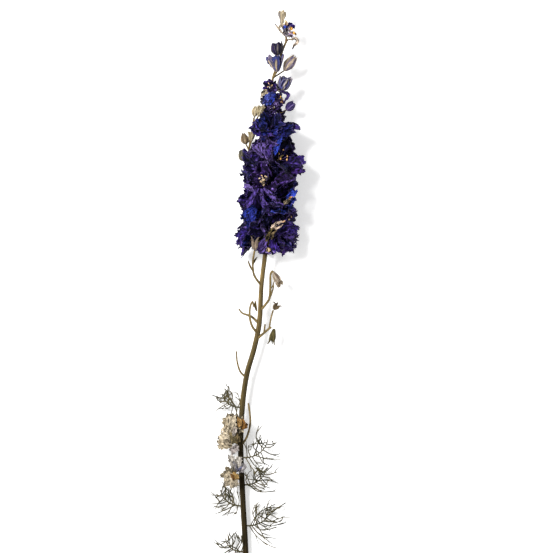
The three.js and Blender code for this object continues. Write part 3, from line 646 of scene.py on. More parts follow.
HUES = {2: "cobalt", 4: "blue", 5: "dusty", 6: "navy", 9: "blue", 7: "cobalt", 8: "navy", 10: "navy",
        12: "cobalt", 13: "navy", 14: "navy", 21: "navy", 24: "dusty", 26: "cobalt", 28: "slate",
        30: "dusty"}
HEARTS = {3: "cream", 4: "gold", 25: "gold", 29: "few"}
OPENINGS = {28: 0.3, 30: 0.9}
HEAD_FOOT = 342  # where the head ends below, from the cut end
CLOSING_FOOT = 341  # the same for the floret that closes it round the stem
HEAD_HEIGHT = 14  # the head's middle above the surface
POD_PLACE, POD_ROOM = vec(348, 2.5, 24.5), 22  # florets this close make room for the pods
CLOSE = 1.6  # how far petals reach past half way to the next floret
BROAD = {1, 2, 3, 5, 6, 7, 8, 10, 11, 12, 13}
STRETCH = {4: 1.16, 5: 0.92, 7: 1.24, 8: 1, 12: 0.95, 13: 1.24, 15: 0.9, 20: 0.6, 28: 0.5, 26: 0.62}
# Walls that hold a floret's petals back from the sprig on the left and from the open right side.
WAIST = {5: ((413, 4.6, 0), (0.62, 0.78, 0)), 19: ((414, -21.7, 0), (0.42, -0.91, 0))}
HEAD = [floret_place(*row, DENSE_STALK, DENSE_SEED + n) for n, row in enumerate(DENSE)]
HEAD += [floret_place(*row, UPPER_STALK, UPPER_SEED + n) for n, row in enumerate(UPPER)]
for n, floret in enumerate(HEAD, 1):
    large = n <= len(DENSE)
    floret.number, floret.deep = n, 1
    floret.palette = PALETTES[HUES.get(n, "violet")]
    floret.open = OPENINGS.get(n, 1)
    floret.heart = HEARTS.get(n, "few" if large and drawer(n)(77) > 0.6 else None)
    floret.stretch = STRETCH.get(n, 1.12 if large else 0.74)


def violet_floret(shape, floret):
    walls = cell_walls(floret, HEAD, CLOSE)
    pick = drawer(floret.seed)
    if floret.number == len(HEAD):
        walls.append((vec(CLOSING_FOOT, 0, 0), vec(-1, 0, 0)))
    else:
        tilt = pick(62, 0.1, 0.6) * (1 if floret.centre[2] > HEAD_HEIGHT else -1)
        walls.append((vec(HEAD_FOOT + pick(60, -3, 7), 0, HEAD_HEIGHT),
                      unit(vec(-1, pick(61, -0.3, 0.3), tilt))))
    if floret.number in WAIST:
        place, away = WAIST[floret.number]
        walls.append((vec(*place), unit(vec(*away))))
    if np.linalg.norm(floret.centre - POD_PLACE) < POD_ROOM:
        walls.append((POD_PLACE, unit(POD_PLACE - floret.centre)))
    # Points across and along a petal, ring by ring: more of them for the florets on top.
    near = floret.facing[2] > 0.2 and floret.size > 0.9
    grids = ((19, 24), (19, 24), (13, 16)) if near else ((13, 15),)
    rings = OPEN_RINGS if floret.heart in ("gold", "cream") else VIOLET_RINGS
    if floret.number in BROAD:
        rings, grids = BROAD_RINGS, ((27, 24), (23, 22), (13, 16))
    # LAVENDER here is the petals' painted highlight on their ridges; DUSTY is their edge colour.
    ringed(shape, floret, rings, walls, grids, LAVENDER, DUSTY)
    if floret.heart:
        stamens(shape, floret, floret.heart)


KNOB = np.array([-1, -0.6, 0, 0.6, 1]), np.array([0.2, 0.85, 1, 0.85, 0.2])  # along it, radius


def knob(shape, place, radius, tint, seed):
    shape.tube([np.asarray(place) + vec(d, 0, 0) for d in radius * KNOB[0]], radius * KNOB[1], 9,
               tint, lambda a, t: 0.12 * np.sin(3 * a + seed), seed=seed)


BUD_KINDS = {
    # share of the greatest radius from foot to tip, flare of the tips, half width of the ribs,
    # colours of rib, tip and panels, sepal by sepal
    "club": ((0.25, 0.52, 0.54, 0.7, 1, 1.05, 0.8), 0.2, 0.2, (0.56, 0.46, 0.31), (0.58, 0.4, 0.21),
        ((0.52, 0.43, 0.29), (0.12, 0.12, 0.2), (0.46, 0.37, 0.25), (0.28, 0.26, 0.27),
        (0.54, 0.44, 0.29))),
    "dark": ((0.35, 0.75, 0.98, 1.05, 1, 0.85, 0.7), 0.5, 0.09, (0.2, 0.165, 0.15),
        (0.02, 0.012, 0.07), ((0.007, 0.005, 0.032), (0.018, 0.01, 0.06))),
    "blue": ((0.26, 0.5, 0.72, 0.86, 0.98, 1.05, 1.05), 0.75, 0.14, (0.56, 0.44, 0.29),
        (0.05, 0.04, 0.22), ((0.045, 0.06, 0.27), (0.035, 0.038, 0.17), (0.16, 0.15, 0.25),
        (0.17, 0.15, 0.24), (0.05, 0.06, 0.24))),
    "striped": ((0.3, 0.65, 0.95, 1, 0.9, 0.72, 0.45), 0.25, 0.28, (0.6, 0.47, 0.33),
        (0.46, 0.32, 0.19), ((0.16, 0.14, 0.3), (0.36, 0.28, 0.2), (0.38, 0.3, 0.21),
        (0.46, 0.36, 0.25), (0.27, 0.22, 0.28))),
    "violet": ((0.5, 0.85, 1.05, 1.1, 1, 0.8, 0.5), 0.1, 0.08, (0.24, 0.17, 0.4), (0.12, 0.08, 0.26),
        ((0.026, 0.014, 0.1),)),
    "cup": ((0.5, 0.85, 1, 1.06, 1.06, 1.04, 0.95), 0.4, 0.11, (0.44, 0.38, 0.32), (0.32, 0.28, 0.32),
        ((0.1, 0.1, 0.22), (0.05, 0.05, 0.17), (0.16, 0.16, 0.26))),
    "star": ((0.35, 0.6, 0.8, 0.95, 0.95, 1, 1.1), 0.75, 0.15, (0.68, 0.57, 0.36), (0.6, 0.49, 0.28),
        ((0.5, 0.41, 0.24), (0.42, 0.33, 0.18))),
    "tan": ((0.35, 0.8, 1, 0.95, 0.78, 0.55, 0.25), 0.05, 0.12, (0.4, 0.3, 0.19), (0.2, 0.14, 0.08),
        ((0.26, 0.19, 0.11), (0.18, 0.125, 0.07))),
    "olive": ((0.35, 0.8, 1, 0.95, 0.8, 0.6, 0.35), 0.1, 0.1, (0.44, 0.36, 0.23), (0.16, 0.14, 0.1),
        ((0.12, 0.11, 0.075),)),
    "cream": ((0.35, 0.75, 1, 1.05, 0.95, 0.7, 0.35), 0.03, 0.15, (0.7, 0.59, 0.39),
        (0.54, 0.43, 0.25), ((0.56, 0.46, 0.29), (0.46, 0.36, 0.22))),
    "calyx": ((0.35, 0.6, 0.85, 1, 1, 0.85, 0.7), 0.5, 0.25, (0.66, 0.55, 0.42), (0.5, 0.39, 0.28),
        ((0.54, 0.43, 0.32), (0.16, 0.1, 0.07))),
}
SEPALS = 5


def bud(shape, foot, tip, width, kind, seed):
    """Overlapping ribbed sepals round a closed core."""
    girth, flare, narrow, rib, end, panels = BUD_KINDS[kind]
    pick = drawer(seed)
    foot, tip = np.asarray(foot, float), np.asarray(tip, float)
    way = unit(tip - foot)
    length = np.linalg.norm(tip - foot)
    first = unit(np.cross(way, vec(0.2, 0.1, 1)))
    second = np.cross(way, first)
    places = np.linspace(0, 1, len(girth))
    core = np.linspace(0, 0.9, 12)
    shape.tube(foot + way * (core * length)[:, None],
               np.interp(core, places, girth) * width * 0.41 * (1 - 0.5 * flare * core ** 3), 12,
               np.asarray(panels[0]) * 0.6, lambda a, t: 0.06 * np.sin(5 * a), seed=seed)
    u, v = across_along(15, 20)
    for n in range(SEPALS):
        turn = TURN * n / SEPALS + pick(n, -0.25, 0.25)
        wide = pick(n + 10, 0.62, 0.85) * np.clip(1.05 - v ** 4, 0.05, 1) ** 0.7
        fold = (0.6 * creases(u * 3, v * 2, seed + n, 1.6)
                + 0.4 * creases(u * 4, v * 6, seed + 9 + n, 1.3))
        radius = np.interp(v, places, girth) * width / 2
        radius = radius * (1 + 0.09 * np.exp(-(u / 0.2) ** 2) - 0.05 * np.abs(u) + 0.09 * fold)
        radius = radius + 0.12 * (n % 2) + flare * width * 0.3 * v ** 4 * pick(n + 20, 0.2, 1)
        theta = turn + u * wide + 0.12 * np.sin(3 * v + n)
        end_at = pick(n + 30, 0.9, 1.03) + 0.05 * creases(u * 2, u * 0, seed + n + 50, 1.1) * v ** 4
        grid = (foot + way * (v * length * end_at)[..., None]
                + first * (radius * np.cos(theta))[..., None]
                + second * (radius * np.sin(theta))[..., None])
        stripe = smooth((np.abs(u) - narrow) / 0.12) * (1 - 0.7 * smooth((np.abs(u) - 0.86) / 0.14))
        stripe = stripe * (1.15 + 0.35 * fold) * smooth((v + 0.05) / 0.2)
        tint = mixed(rib, panels[n % len(panels)], np.clip(stripe, 0, 1)[..., None])
        tint = mixed(tint, end, 0.7 * smooth((v - 0.82) / 0.18)[..., None])
        # Painted shade in the sepals' creases and painted highlights on their ridges.
        tint = tint * (0.8 + 0.4 * fold)[..., None]
        grain = np.stack([u * 3 + n * 5, v * length * 0.2, np.full_like(u, seed)], -1)
        shape.sheet(grid, tint, grain, 0.18)


# Single petals that stand out in the head, by the floret they belong to.
PINKISH = (0.54, 0.41, 0.32)
SINGLES = {
    1: [((352, -4, 22), (346, -1, 22.5), (342.6, 1.5, 21), 7, mixed(VIOLET, DUSTY, 0.6)),
        ((351, -8, 22), (345, -9, 22.5), (342, -11, 21), 7, VIOLET),
        ((358, -7, 29), (361, -11.5, 31.5), (362, -15.4, 30), 2.6, PINKISH),
        ((357.4, -8, 29), (358.2, -12, 31), (360.4, -15, 30), 1.8, mixed(PINKISH, BROWN, 0.4)),
        ((349.2, -4, 27), (353.6, -5.5, 30), (358.4, -8.5, 30), 2.4, (0.095, 0.07, 0.028)),
        ((350.6, -7.6, 27), (354, -8.4, 30), (356.6, -11, 30), 1.8, (0.13, 0.09, 0.045)),
        ((361.4, -14.6, 31), (362.4, -15.6, 31.6), (362.6, -16.4, 31), 1.1,
         mixed(GOLD, PINKISH, 0.5))],
    2: [((376, -17, 28), (380, -21, 28.5), (383, -22.5, 26), 5, COBALT),
        ((372, -18, 27), (375.5, -21, 27.5), (378, -22, 25), 4, mixed(COBALT, NAVY, 0.5)),
        ((373, -15, 29.5), (375.3, -18, 30.6), (377, -20.2, 29.5), 2.6, (0.18, 0.14, 0.09)),
        ((376, -18.6, 30), (377.4, -19.6, 30.6), (378.2, -20.8, 30), 1.2, GOLD)],
    3: [((381, 3.4, 30.4), (384, 7.4, 31), (385, 10.6, 28), 3.8, mixed(DUSTY, VIOLET, 0.2)),
        ((383.5, -2.5, 31), (377, -9, 34), (371, -15, 32), 3.8, mixed(VIOLET, DUSTY, 0.5)),
        ((383, -1, 31), (374, -2.4, 34.5), (365.6, -7.2, 33), 3.6, mixed(VIOLET, DUSTY, 0.35)),
        ((383.5, 1, 31), (377, 5, 33), (370.6, 9.2, 30), 4, mixed(VIOLET, DUSTY, 0.25))],
    4: [((398, -20, 25), (401, -25, 24.5), (402.6, -29, 21), 7, VIOLET),
        ((394, -20, 25), (395, -25, 23), (397, -28.5, 19), 6, PLUM)],
    5: [((404.4, -9.5, 33), (410.4, -11.4, 35), (416.2, -14.4, 33), 3.4, COBALT),
        ((403, -4, 30), (409, -2.2, 32), (413.4, -3.2, 30), 6, mixed(VIOLET, DUSTY, 0.7)),
        ((403, -3, 30), (407.6, 0.6, 31), (411, 3, 28), 5.4, mixed(VIOLET, DUSTY, 0.8)),
        ((403, -5, 30), (408, -5.4, 32), (412.6, -7, 30), 5, mixed(VIOLET, DUSTY, 0.2))],
    6: [((417, -6, 29), (421, -12, 30), (424.5, -19, 27), 5.5, mixed(NAVY, COBALT, 0.15)),
        ((415, -8, 29), (418, -14, 30), (419.5, -20, 26), 5, NAVY),
        ((417, 0, 29), (420, 2.5, 29.5), (424, 5, 27), 5.5, mixed(VIOLET, NAVY, 0.4)),
        ((414, -2, 30), (418.5, -3, 31.5), (422.5, -6, 29), 5, mixed(NAVY, COBALT, 0.2))],
    7: [((371, 2.6, 30), (364.5, 5.4, 32.5), (357, 6.6, 29), 6, mixed(COBALT, NAVY, 0.68)),
        ((371.4, 4, 29), (368, 8.2, 30), (363, 11.4, 26), 5, mixed(COBALT, NAVY, 0.35))],
    8: [((353, -13, 17), (348.5, -18, 18), (344.4, -22, 14), 7.5, VIOLET),
        ((355, -14, 20), (353, -19.5, 20), (351.4, -24.4, 15), 7.5, mixed(VIOLET, DUSTY, 0.35)),
        ((351, -10, 19), (346, -13.5, 19), (342, -17, 15), 7, PLUM),
        ((358, -15, 22), (357.6, -20, 22), (356.4, -24.8, 17), 7, mixed(VIOLET, NAVY, 0.3))],
    12: [((355, 8, 17), (350.4, 11.4, 18), (346.4, 13.6, 14), 7, mixed(VIOLET, DUSTY, 0.2)),
         ((356, 8, 20), (354.4, 12, 20), (351.6, 15.2, 16), 6.5, mixed(VIOLET, NAVY, 0.3))],
    25: [((446.8, -13, 21), (444.2, -18.4, 22), (438.6, -14.8, 21.8), 2.6, (0.03, 0.016, 0.09)),
         ((441, -9, 22), (438.4, -11, 22.6), (435.6, -12.6, 21.6), 2.2, mixed(DUSTY, LAVENDER, 0.5))],
    26: [((446, -9, 22), (442, -5.2, 23.6), (437.6, -3.4, 22), 5, mixed(COBALT, SLATE, 0.4)),
         ((445, -10, 22.6), (441, -8, 24), (437.4, -6.4, 22.6), 3, mixed(COBALT, NAVY, 0.3)),
         ((446, -6, 22), (445.6, -2.6, 23), (442.4, -0.4, 22), 3.4, CREAM),
         ((442, -3, 21.6), (439.4, -1.4, 22), (437.2, -2.2, 21), 2.4, (0.05, 0.045, 0.06))],
    30: [((344.6, -2.6, 21.6), (342.8, -5.6, 22.6), (342.4, -10, 21.8), 2.6,
          mixed(DUSTY, LAVENDER, 0.3))],
    29: [((447, -8.4, 21.4), (447.4, -11, 22.4), (446.4, -13, 21.6), 1, CREAM)],
}

# Floret 28 holds a small bud like a cup, and floret 30 a dry knob.
for floret in HEAD:
    shape = Shape()
    violet_floret(shape, floret)
    blades(shape, SINGLES.get(floret.number, []))
    if floret.number == 28:
        bud(shape, (447.9, -14.4, 19), (456.2, -17, 21.4), 7.6, "cup", CUP_SEED)
    if floret.number == 30:
        knob(shape, (344, -5.4, 23.6), 1.5, (0.34, 0.25, 0.13), 3)
    name = f"floret_{floret.number:02d}"
    shape.piece(name + "_petals", PETAL, "petal", name)


# ---- buds ----
LOOSE_SEPALS = {
    "bud_blue": [((461, -9.4, 22), (465.6, -5.8, 24.6), (468.6, -4.2, 24.4), 3.4, (0.06, 0.06, 0.22)),
                 ((463, -9, 23), (467.6, -6.6, 26), (470, -6.4, 26), 2.6, (0.3, 0.24, 0.36))],
    "bud_tip": [((491, -14, 16), (488.4, -12.6, 17), (486.6, -12.8, 16.6), 1.9, (0.5, 0.4, 0.27)),
                ((491.4, -14.4, 16), (489, -15.6, 17.2), (487.2, -16, 16.8), 1.9, (0.46, 0.36, 0.24))],
}
for n, (name, root, foot, tip, width, kind) in enumerate(BUDS):
    shape = Shape()
    bud(shape, foot, tip, width, kind, BUD_SEED + n)
    blades(shape, LOOSE_SEPALS.get(name, []))
    shape.piece(name + "_sepals", HUSK, "bud", name)


# ---- seed pods ----
POD_GIRTH = ([0, 0.12, 0.4, 0.62, 0.78, 0.92, 1],  # share of its length
             [0.5, 0.85, 1.2, 0.9, 0.45, 0.3, 0.22])  # radius there
POD_COLOURS = ((0.24, 0.18, 0.13), (0.105, 0.085, 0.028), (0.13, 0.09, 0.045))


def seam(angle, width):
    return np.exp(-((np.cos(angle) - 1) / width) ** 2)


def pod(shape, foot, way, side, length, seed, colour):
    """A follicle: swollen below, drawn out into a curled beak, with a seam along its inside."""
    curl = drawer(seed)(1, 0.6, 1.6)
    t = np.linspace(0, 1, 16)[:, None]
    lift = unit(np.cross(way, side))
    points = (foot + way * (t * length) + side * (1.9 * t + curl * np.maximum(t - 0.7, 0) * 4)
              - way * (curl * np.maximum(t - 0.85, 0) * 6) + lift * (0.4 * np.sin(t * 3 + seed)))

    def tint(angle, share):
        tone = 1 - 0.5 * seam(angle, 0.12) + 0.15 * np.sin(angle * 5 + share * 14)
        beak = np.clip(share - 0.75, 0, 0.25)[..., None] * 2.4
        return mixed(colour, BROWN, beak) * tone[..., None]

    shape.tube(points, np.interp(t[:, 0], *POD_GIRTH), 12, tint,
               lambda a, t: -0.22 * seam(a, 0.1) + 0.05 * np.sin(6 * a + 9 * t), seed=seed, stretch=0.3)


for n, (name, foot, facing, length) in enumerate(PODS):
    shape = Shape()
    way = unit(facing)
    side = unit(np.cross(way, vec(0, 0, 1)))
    up = np.cross(side, way)
    for k in range(3):
        angle = TURN * k / 3 + drawer(n)(k)
        spread = side * math.cos(angle) + up * math.sin(angle)
        pod(shape, np.asarray(foot, float) + spread * 0.3, way, spread, length,
            POD_SEED + 10 * n + k, POD_COLOURS[n])
    shape.piece(name + "_dry", HUSK, "pod", name)


# ---- florets outside the head ----
FADED = (0.44, 0.365, 0.25)
PARCHMENT = (0.52, 0.44, 0.32)
OLIVE = (0.2, 0.155, 0.075)
ASH = (0.46, 0.42, 0.37)
RUST = (0.2, 0.095, 0.026)
FADED_RINGS = [
    (8, (0.8, 1.25), (0.3, 0.8), (10.5, 14.5), (4.5, 7), 0.8, 0.4, (0.4, 1.1), 0.4, 1.3, 0.8),
    (7, (0.45, 0.9), (0.3, 0.8), (8.5, 12.5), (4, 6.5), 0.7, 0.9, (0.5, 1.2), 0.5, 1.2, 0.8),
    (6, (0.2, 0.6), (0.2, 0.6), (6, 9), (3, 5), 0.6, 1.3, (0.6, 1.4), 0.6, 0.7, 0.6),
]
FADED_PALETTE = (FADED, mixed(FADED, TAN, 0.4), (0.5, 0.41, 0.27), CREAM, mixed(FADED, BROWN, 0.35))
# The faded petals' painted highlight on their ridges, and their edge colour.
FADED_PAINTED_HIGHLIGHT, FADED_EDGE = (0.46, 0.39, 0.28), (0.4, 0.33, 0.22)
BLUE_CREAM = mixed(SLATE, CREAM, 0.45)
# The small floret at the tip, blade by blade: hood, sepals, a hanging wisp and two bracts.
TIP_BLADES = [
    ((486, -17.6, 17.6), (489.6, -19.2, 20.2), (490.6, -21.2, 19.4), 3.3, (0.014, 0.01, 0.07)),
    ((486, -18.4, 17.6), (488.6, -21, 20.2), (487.6, -22.6, 18.6), 3, (0.03, 0.014, 0.12)),
    ((485.8, -18, 17.6), (487.6, -19, 20.4), (489, -19.8, 20.4), 2, mixed(LAVENDER, CREAM, 0.6)),
    ((485.4, -17.4, 17.6), (488, -16.2, 19), (490.2, -15.8, 18), 3.2, (0.02, 0.04, 0.24)),
    ((485, -18, 17.6), (486.4, -17.2, 19.6), (489, -17.2, 19.4), 1.6, BLUE_CREAM),
    ((487.4, -17.2, 18), (490.8, -17, 18.8), (493.6, -16.4, 18), 2.4, (0.55, 0.38, 0.22)),
    ((484.6, -17.2, 17.6), (486.4, -15.8, 19), (488.6, -14.8, 18.4), 2.4, BLUE_CREAM),
    ((485.2, -18.8, 17.6), (483.4, -20.2, 18.6), (481.6, -20.8, 17.6), 3.2, mixed(LAVENDER, CREAM, 0.4)),
    ((484.6, -18.6, 17.6), (482.8, -18.8, 18.4), (481.6, -19.2, 17.6), 2, CREAM),
    ((485.4, -19, 18), (484.6, -22.2, 18.6), (483.4, -23.6, 17.6), 2, mixed(GOLD, CREAM, 0.4)),
    ((480.4, -17.6, 16), (480.9, -19.6, 16.4), (480.6, -20.6, 16.4), 1, TAN),
    ((480.4, -20.2, 16.2), (481.6, -22.6, 16.6), (479.6, -24.4, 16.4), (476.6, -22, 16.6),
      (474.8, -21.2, 16.8), 2.7, mixed(LAVENDER, CREAM, 0.9)),
    ((485, -16.6, 17), (483.6, -17, 18.6), (482.4, -18.8, 18.4), 3.2, BLUE_CREAM),
    ((486.6, -16.4, 17.4), (485.4, -15.6, 18.6), (484.2, -15.4, 18), 2.2, mixed(NAVY, CREAM, 0.5)),
    ((476, -21.6, 16.7), (475, -21.3, 16.9), (474.2, -21.1, 16.9), 1.2, (0.03, 0.02, 0.06)),
    ((483.6, -15.6, 16.2), (487.4, -12.4, 16.8), (491.2, -9.4, 16.4), 1.7, mixed(CREAM, SLATE, 0.2)),
    ((482.6, -16.8, 16), (484.4, -14.9, 16.4), (486.2, -13.2, 16.3), 1.1, CREAM),
]
TIP_KNOBS = [
    ((487.2, -20.2, 20.4), 1.15, GOLD, 1), ((484.6, -21.9, 19.2), 1, mixed(GOLD, TAN, 0.3), 2),
    ((480.4, -17.2, 16), 1.1, BROWN, 4),
]
# Golden brown rims and pale sepals of the faded florets, by floret.
FADED_BLADES = {
    1: [((228, 12.6, 16), (231, 10.6, 18), (234.5, 11, 17), 3, RUST),
        ((228, 12.4, 16), (229.4, 9.4, 17), (231.6, 8.6, 15), 3, RUST),
        ((229, 14, 17), (232.4, 13.2, 18.5), (235.4, 14.6, 16), 3.4, (0.4, 0.23, 0.08)),
        ((226, 17, 15), (231, 18.2, 18), (236.6, 18, 15), 7, PARCHMENT),
        ((227, 19, 14), (231, 21.2, 16.4), (235, 22.2, 13), 5.5, FADED),
        ((225, 18, 14), (226.5, 21.4, 16), (229, 24, 12), 5, PARCHMENT),
        ((230, 15, 16), (226, 16.6, 18.4), (222.6, 17.4, 17), 3, mixed(PARCHMENT, SLATE, 0.3))],
    2: [((218, 18, 13), (221.5, 22, 16), (224, 26.4, 12), 7, PARCHMENT),
        ((217, 18, 13), (217.6, 23, 15.6), (217.4, 28, 11), 7, FADED),
        ((225.4, 19.4, 15), (221.6, 17.4, 17.8), (218.2, 16.2, 16), 4.4, OLIVE),
        ((226, 16.4, 15), (222, 14.6, 17.6), (218.6, 14, 15.6), 4, mixed(OLIVE, BROWN, 0.4)),
        ((217, 15, 12), (214.4, 16.6, 14), (212.6, 19.4, 12), 5, mixed(PARCHMENT, SLATE, 0.4))],
    3: [((200, 15, 11), (205, 14.4, 14), (209.5, 13.6, 12), 5, ASH),
        ((200, 16, 11), (206, 18, 14), (210.6, 19.6, 12), 5, ASH),
        ((200, 15, 12), (204.6, 16.4, 14), (209, 17, 12.4), 2, mixed(SLATE, ASH, 0.4)),
        ((199, 14, 11), (202, 11.4, 14), (205, 10.2, 12), 4.6, mixed(ASH, SLATE, 0.3)),
        ((199, 15, 11), (202, 13, 14.4), (204, 11, 12.4), 1.4, mixed(SLATE, ASH, 0.2)),
        ((199, 19.4, 13), (194, 20.8, 16), (189.6, 20.6, 12), 6, PARCHMENT),
        ((198, 16.4, 13), (193, 16.6, 16.6), (189.6, 15.6, 13), 6, PARCHMENT),
        ((200, 20, 13), (198, 23, 15), (195, 24.4, 11), 5, FADED),
        ((199.6, 17.6, 16), (197, 15.4, 18), (195, 14.2, 16.6), 3.4, (0.42, 0.26, 0.09)),
        ((198.6, 19.2, 16.4), (196.4, 17.4, 18.4), (194.4, 17, 17), 2.4, RUST)],
}


def dry_flower(shape, facing):
    """A nodding flower: its calyx, and five shrivelled sepals that hang from it."""
    bud(shape, (329.6, -8.6, 17.1), (322.6, -12.6, 16.3), 4.4, "calyx", CALYX_SEED)
    for k in range(5):
        pick = drawer(k)
        side = vec(-0.5, 0.85, 0.2) * (k - 2)
        start = vec(324.4, -11.4, 16.5) + side * 0.7
        end = start + facing * pick(3, 3.6, 5.6) + side * pick(4, 0.2, 0.7)
        ribbon(shape, [start, (start + end) / 2 + vec(0, 0, 0.5), end], 1.7,
               mixed(CREAM, BROWN, pick(5, 0.3, 0.9)), k, ragged=0.5)


for n, (name, base, facing, size, opened) in enumerate(LONE):
    shape = Shape()
    facing = unit(facing)
    base = np.asarray(base, float)
    if name == "dry_flower":
        dry_flower(shape, facing)
        shape.piece(name + "_sepals", PAPER, "faded", name)
    elif name == "tip_floret":
        blades(shape, TIP_BLADES)
        for row in TIP_KNOBS:
            knob(shape, *row)
        shape.piece(name + "_petals", PETAL, "petal", name)
    else:
        floret = SimpleNamespace(base=base, look=facing, centre=base + facing * MIDDLE * size,
                                 size=size, seed=LONE_SEED + n, open=opened, deep=0.9, stretch=1,
                                 flow=0.12, palette=FADED_PALETTE)
        ringed(shape, floret, FADED_RINGS, [FLOOR_WALL], ((13, 16),), FADED_PAINTED_HIGHLIGHT, FADED_EDGE)
        blades(shape, FADED_BLADES[n - 1])
        stamens(shape, floret, "gold")
        shape.piece(name + "_petals", PAPER, "faded", name)


# ---- thread leaves ----
LEAF_GREEN = (0.026, 0.027, 0.01)
LEAF_FLOOR = vec(-9, -99, 0.5)  # threads stay above this height


def thread(shape, places, count, start, end, seed):
    shape.tube(through(places, count), np.linspace(start, end, count), 6,
               mixed(LEAF_GREEN, TAN, drawer(seed)(1, 0, 0.45)), seed=seed)


def leaf(shape, x, turn, length, threads, number):
    """A curved midrib with forked threads on both sides."""
    angle = math.radians(turn)
    out = vec(0, math.sin(angle), math.cos(angle))
    foot = stem_point(x) + out * follow(STEM, x)[2] * 0.8

    def rib(t):
        p = foot + out * length * 0.72 * math.sin(t * 1.35)
        return np.maximum(p + vec(length * 0.5 * t * t, 0, -length * 0.16 * t * t), LEAF_FLOOR)

    thread(shape, [rib(t) for t in np.linspace(0, 1, 8)], 22, 0.55, 0.28, number)
    for k in range(threads * 3):
        s = LEAF_SEED + number * 60 + k
        pick = drawer(s)
        t = 0.08 + 0.86 * k / (threads * 3)
        along = unit(rib(t + 0.05) - rib(t))
        side = unit(np.cross(vec(0, 0, 1), along)) * (1 if k % 2 else -1)
        way = unit(side * pick(1, 0.5, 1) + along * pick(2, -0.3, 1.2) + vec(0, 0, pick(3, -0.4, 0.6)))
        reach = length * pick(4, 0.24, 0.62) * (1.15 - 0.5 * t)
        root = rib(t)
        end = root + way * reach + along * reach * pick(8, -0.2, 0.5)
        bow = root + way * reach * 0.5 + side * pick(6, -1.2, 2.4) + vec(0, 0, pick(9, -1, 1.5))
        places = [root, np.maximum(bow, LEAF_FLOOR), np.maximum(end, LEAF_FLOOR)]
        thread(shape, places, 10, 0.4, 0.24, s)
        path = through(places, 10)
        for j in (4, 7):
            fork = unit(path[j + 1] - path[j])
            fork = unit(fork + along * pick(7 + j, -0.3, 1.3) + side * pick(40 + j, -0.6, 0.6))
            stop = np.maximum(path[j] + fork * reach * pick(20 + j, 0.35, 0.75), LEAF_FLOOR)
            mid = (path[j] + stop) / 2 + way * pick(30 + j, -0.8, 1.2)
            thread(shape, [path[j], np.maximum(mid, LEAF_FLOOR), stop], 7, 0.34, 0.18, s + j)


for n, row in enumerate(LEAVES):
    shape = Shape()
    leaf(shape, *row, n)
    shape.piece(f"leaf_{n + 1}_threads", HUSK, "leaf", f"leaf_{n + 1}")


# ---- the stem with its stalks ----
# The low colour is the stem darkened by painted shadow; it passes through the middle colour to the top's
# own colour.
STEM_IN_PAINTED_SHADOW, STEM_MIDDLE, STEM_TOP = (0.026, 0.018, 0.006), (0.085, 0.062, 0.024), (0.165, 0.115, 0.045)
STALK_COLOUR = np.array([0.165, 0.118, 0.048])


def stem_tint(angle, share):
    """Streaked, lighter towards the tip and on the left: the lower stem is darkened by painted shadow,
    and the left side lightened by a painted highlight.
    """
    streak = 0.5 + 0.5 * np.sin(7 * angle + 3 * np.sin(share * 9))
    fine = 0.5 + 0.5 * np.sin(19 * angle + 5 * np.sin(share * 14) + 40 * share)
    # A painted highlight on the stem's left side, where the light falls, with painted shade on its
    # right.
    left = (0.5 - 0.5 * np.sin(angle)) ** 2
    tone = (0.62 + 0.4 * streak + 0.25 * fine) * (0.66 + 0.75 * left)
    # Painted shadow on the lower stem, fading out towards the tip.
    low = mixed(STEM_IN_PAINTED_SHADOW, STEM_MIDDLE, smooth((share - 0.42) / 0.1)[..., None])
    return mixed(low, STEM_TOP, smooth((share - 0.55) / 0.12)[..., None]) * tone[..., None]


def stem_ripple(a, t):
    return (0.045 * np.sin(7 * a + 2 * np.sin(9 * t)) + 0.02 * np.sin(13 * a + 5)
            + 0.02 * np.sin(t * 60 + 2 * np.sin(a)))


def stalk_tint(angle, share):
    streak = 0.5 + 0.5 * np.sin(5 * angle + 4 * share)
    return STALK_COLOUR * (0.75 + 0.5 * streak)[..., None]


def stalk_tube(shape, places, count, start, end, sides, seed):
    radii = np.linspace(start, end, count) * (1 + 0.05 * np.sin(np.arange(count) * 1.7 + seed))
    shape.tube(through(places, count), radii, sides, stalk_tint, lambda a, t: 0.07 * np.sin(4 * a),
               seed=seed)


shape = Shape()
stations = np.linspace(0, STEM[-1][0], 330)
shape.tube([stem_point(x) for x in stations], [follow(STEM, x)[2] for x in stations], 28, stem_tint,
           stem_ripple, stretch=0.06)
# The cut face: a pale pith inside the darker rim.
cut = stem_point(0)
shape.tube([cut - vec(0.06, 0, 0), cut, cut + vec(0.3, 0, 0)], [1.3, 1.35, 1.3], 16, CREAM,
           lambda a, t: 0.05 * np.sin(5 * a))
for n, (*places, start, end) in enumerate(STALKS):
    stalk_tube(shape, places, 6 * len(places), start, end, 9, n + 1)
for n, floret in enumerate(HEAD):
    places = [stem_point(floret.x - 7 * floret.size), floret.base - floret.facing * 2.4, floret.base]
    stalk_tube(shape, places, 12, 0.6, 0.7, 8, n + 20)
for n, (_, root, foot, *_) in enumerate(BUDS):
    stalk_tube(shape, [root, mixed(root, foot, 0.5) + vec(0, 0, -0.2), foot], 9, 0.55, 0.5, 8, n + 60)
for n, (name, base, facing, size, _) in enumerate(LONE):
    if name != "dry_flower":
        places = [stem_point(base[0] - 7 * size), base - unit(facing) * 2.4, base]
        stalk_tube(shape, places, 10, 0.6, 0.6, 8, n + 80)
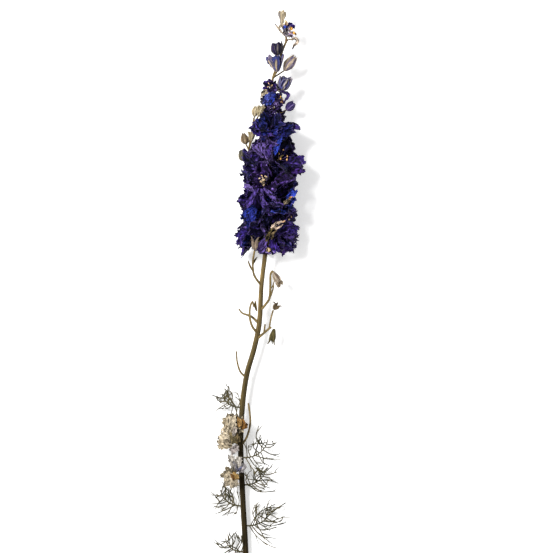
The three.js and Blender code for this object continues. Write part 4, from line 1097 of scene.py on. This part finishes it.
# Thin bracts along the stalks, and the second strand of the dry flower's stalk.
BRACTS = [
    ((334.6, 4.4, 19), (337.4, 3.2, 20.4), (339.6, 1.6, 20.6), 1.2),
    ((330, 4.6, 18), (334, 6.6, 19), (337.6, 8, 18.6), 1.2),
    ((304, 2.2, 12), (307.6, 3, 13), (311.4, 3, 12.6), 1.8),
    ((318.6, -6.8, 15.8), (321, -8.4, 16.6), (324.6, -9.4, 17), 0.8),
    ((312.6, -6.6, 15.2), (318, -8.2, 16.2), (321.4, -9.2, 16.8), 1),
]
for n, (*places, width) in enumerate(BRACTS):
    ribbon(shape, places, width, TAN, BRACT_SEED + n, crumple=0.15)
shape.piece("stem_fibres", STALK, "stem", "stem")

# ---- camera, floor and light, in metres ----
CAMERA_PLACE = (0.0768, -0.0133, 1.016)
AIM_DISTANCE = 1  # from the camera down to the plane of the spike
VIEW_WIDTH = 0.35945  # seen in that plane
SENSOR = 36
FLOOR_REACH = 3
AIM = (0.08, 0, 0)
camera_data = bpy.data.cameras.new("camera")
camera_data.sensor_width = SENSOR
camera_data.lens = SENSOR * AIM_DISTANCE / VIEW_WIDTH
camera_data.clip_end = 20
camera = put("camera", camera_data)
camera.location = CAMERA_PLACE
camera.rotation_euler = (0, 0, -math.pi / 2)
bpy.context.scene.camera = camera

floor_mesh = bpy.data.meshes.new("floor")
corners = [(FLOOR_REACH * x, FLOOR_REACH * y, 0) for x, y in ((-1, -1), (1, -1), (1, 1), (-1, 1))]
floor_mesh.from_pydata(corners, [], [(0, 1, 2, 3)])
paper = bpy.data.materials.new("pale_floor")
paper.use_nodes = True
paper_inputs = paper.node_tree.nodes["Principled BSDF"].inputs
for name, value in (("Base Color", (0.93, 0.93, 0.93, 1)), ("Roughness", 0.9),
                    ("Emission Color", (1, 1, 1, 1)), ("Emission Strength", 0.35)):
    paper_inputs[name].default_value = value
floor_mesh.materials.append(paper)
floor = put("floor", floor_mesh)


def area_light(name, place, size, power):
    data = bpy.data.lights.new(name, "AREA")
    data.shape, data.size, data.energy = "SQUARE", size, power
    light = put(name, data)
    light.location = place
    way = np.array(place, float) - np.array(AIM, float)
    light.rotation_euler = (math.atan2(math.hypot(way[0], way[1]), way[2]), 0,
                            math.atan2(way[0], -way[1]))


area_light("key", (0.45, 0.6, 1.1), 0.35, 22)
area_light("fill", (-0.4, -0.9, 1.2), 1, 3)
world = bpy.data.worlds.new("studio")
bpy.context.scene.world = world
world.use_nodes = True
world.node_tree.nodes["Background"].inputs["Color"].default_value = (1, 1, 1, 1)
world.node_tree.nodes["Background"].inputs["Strength"].default_value = 0.5
bpy.context.scene.view_settings.view_transform = "Standard"
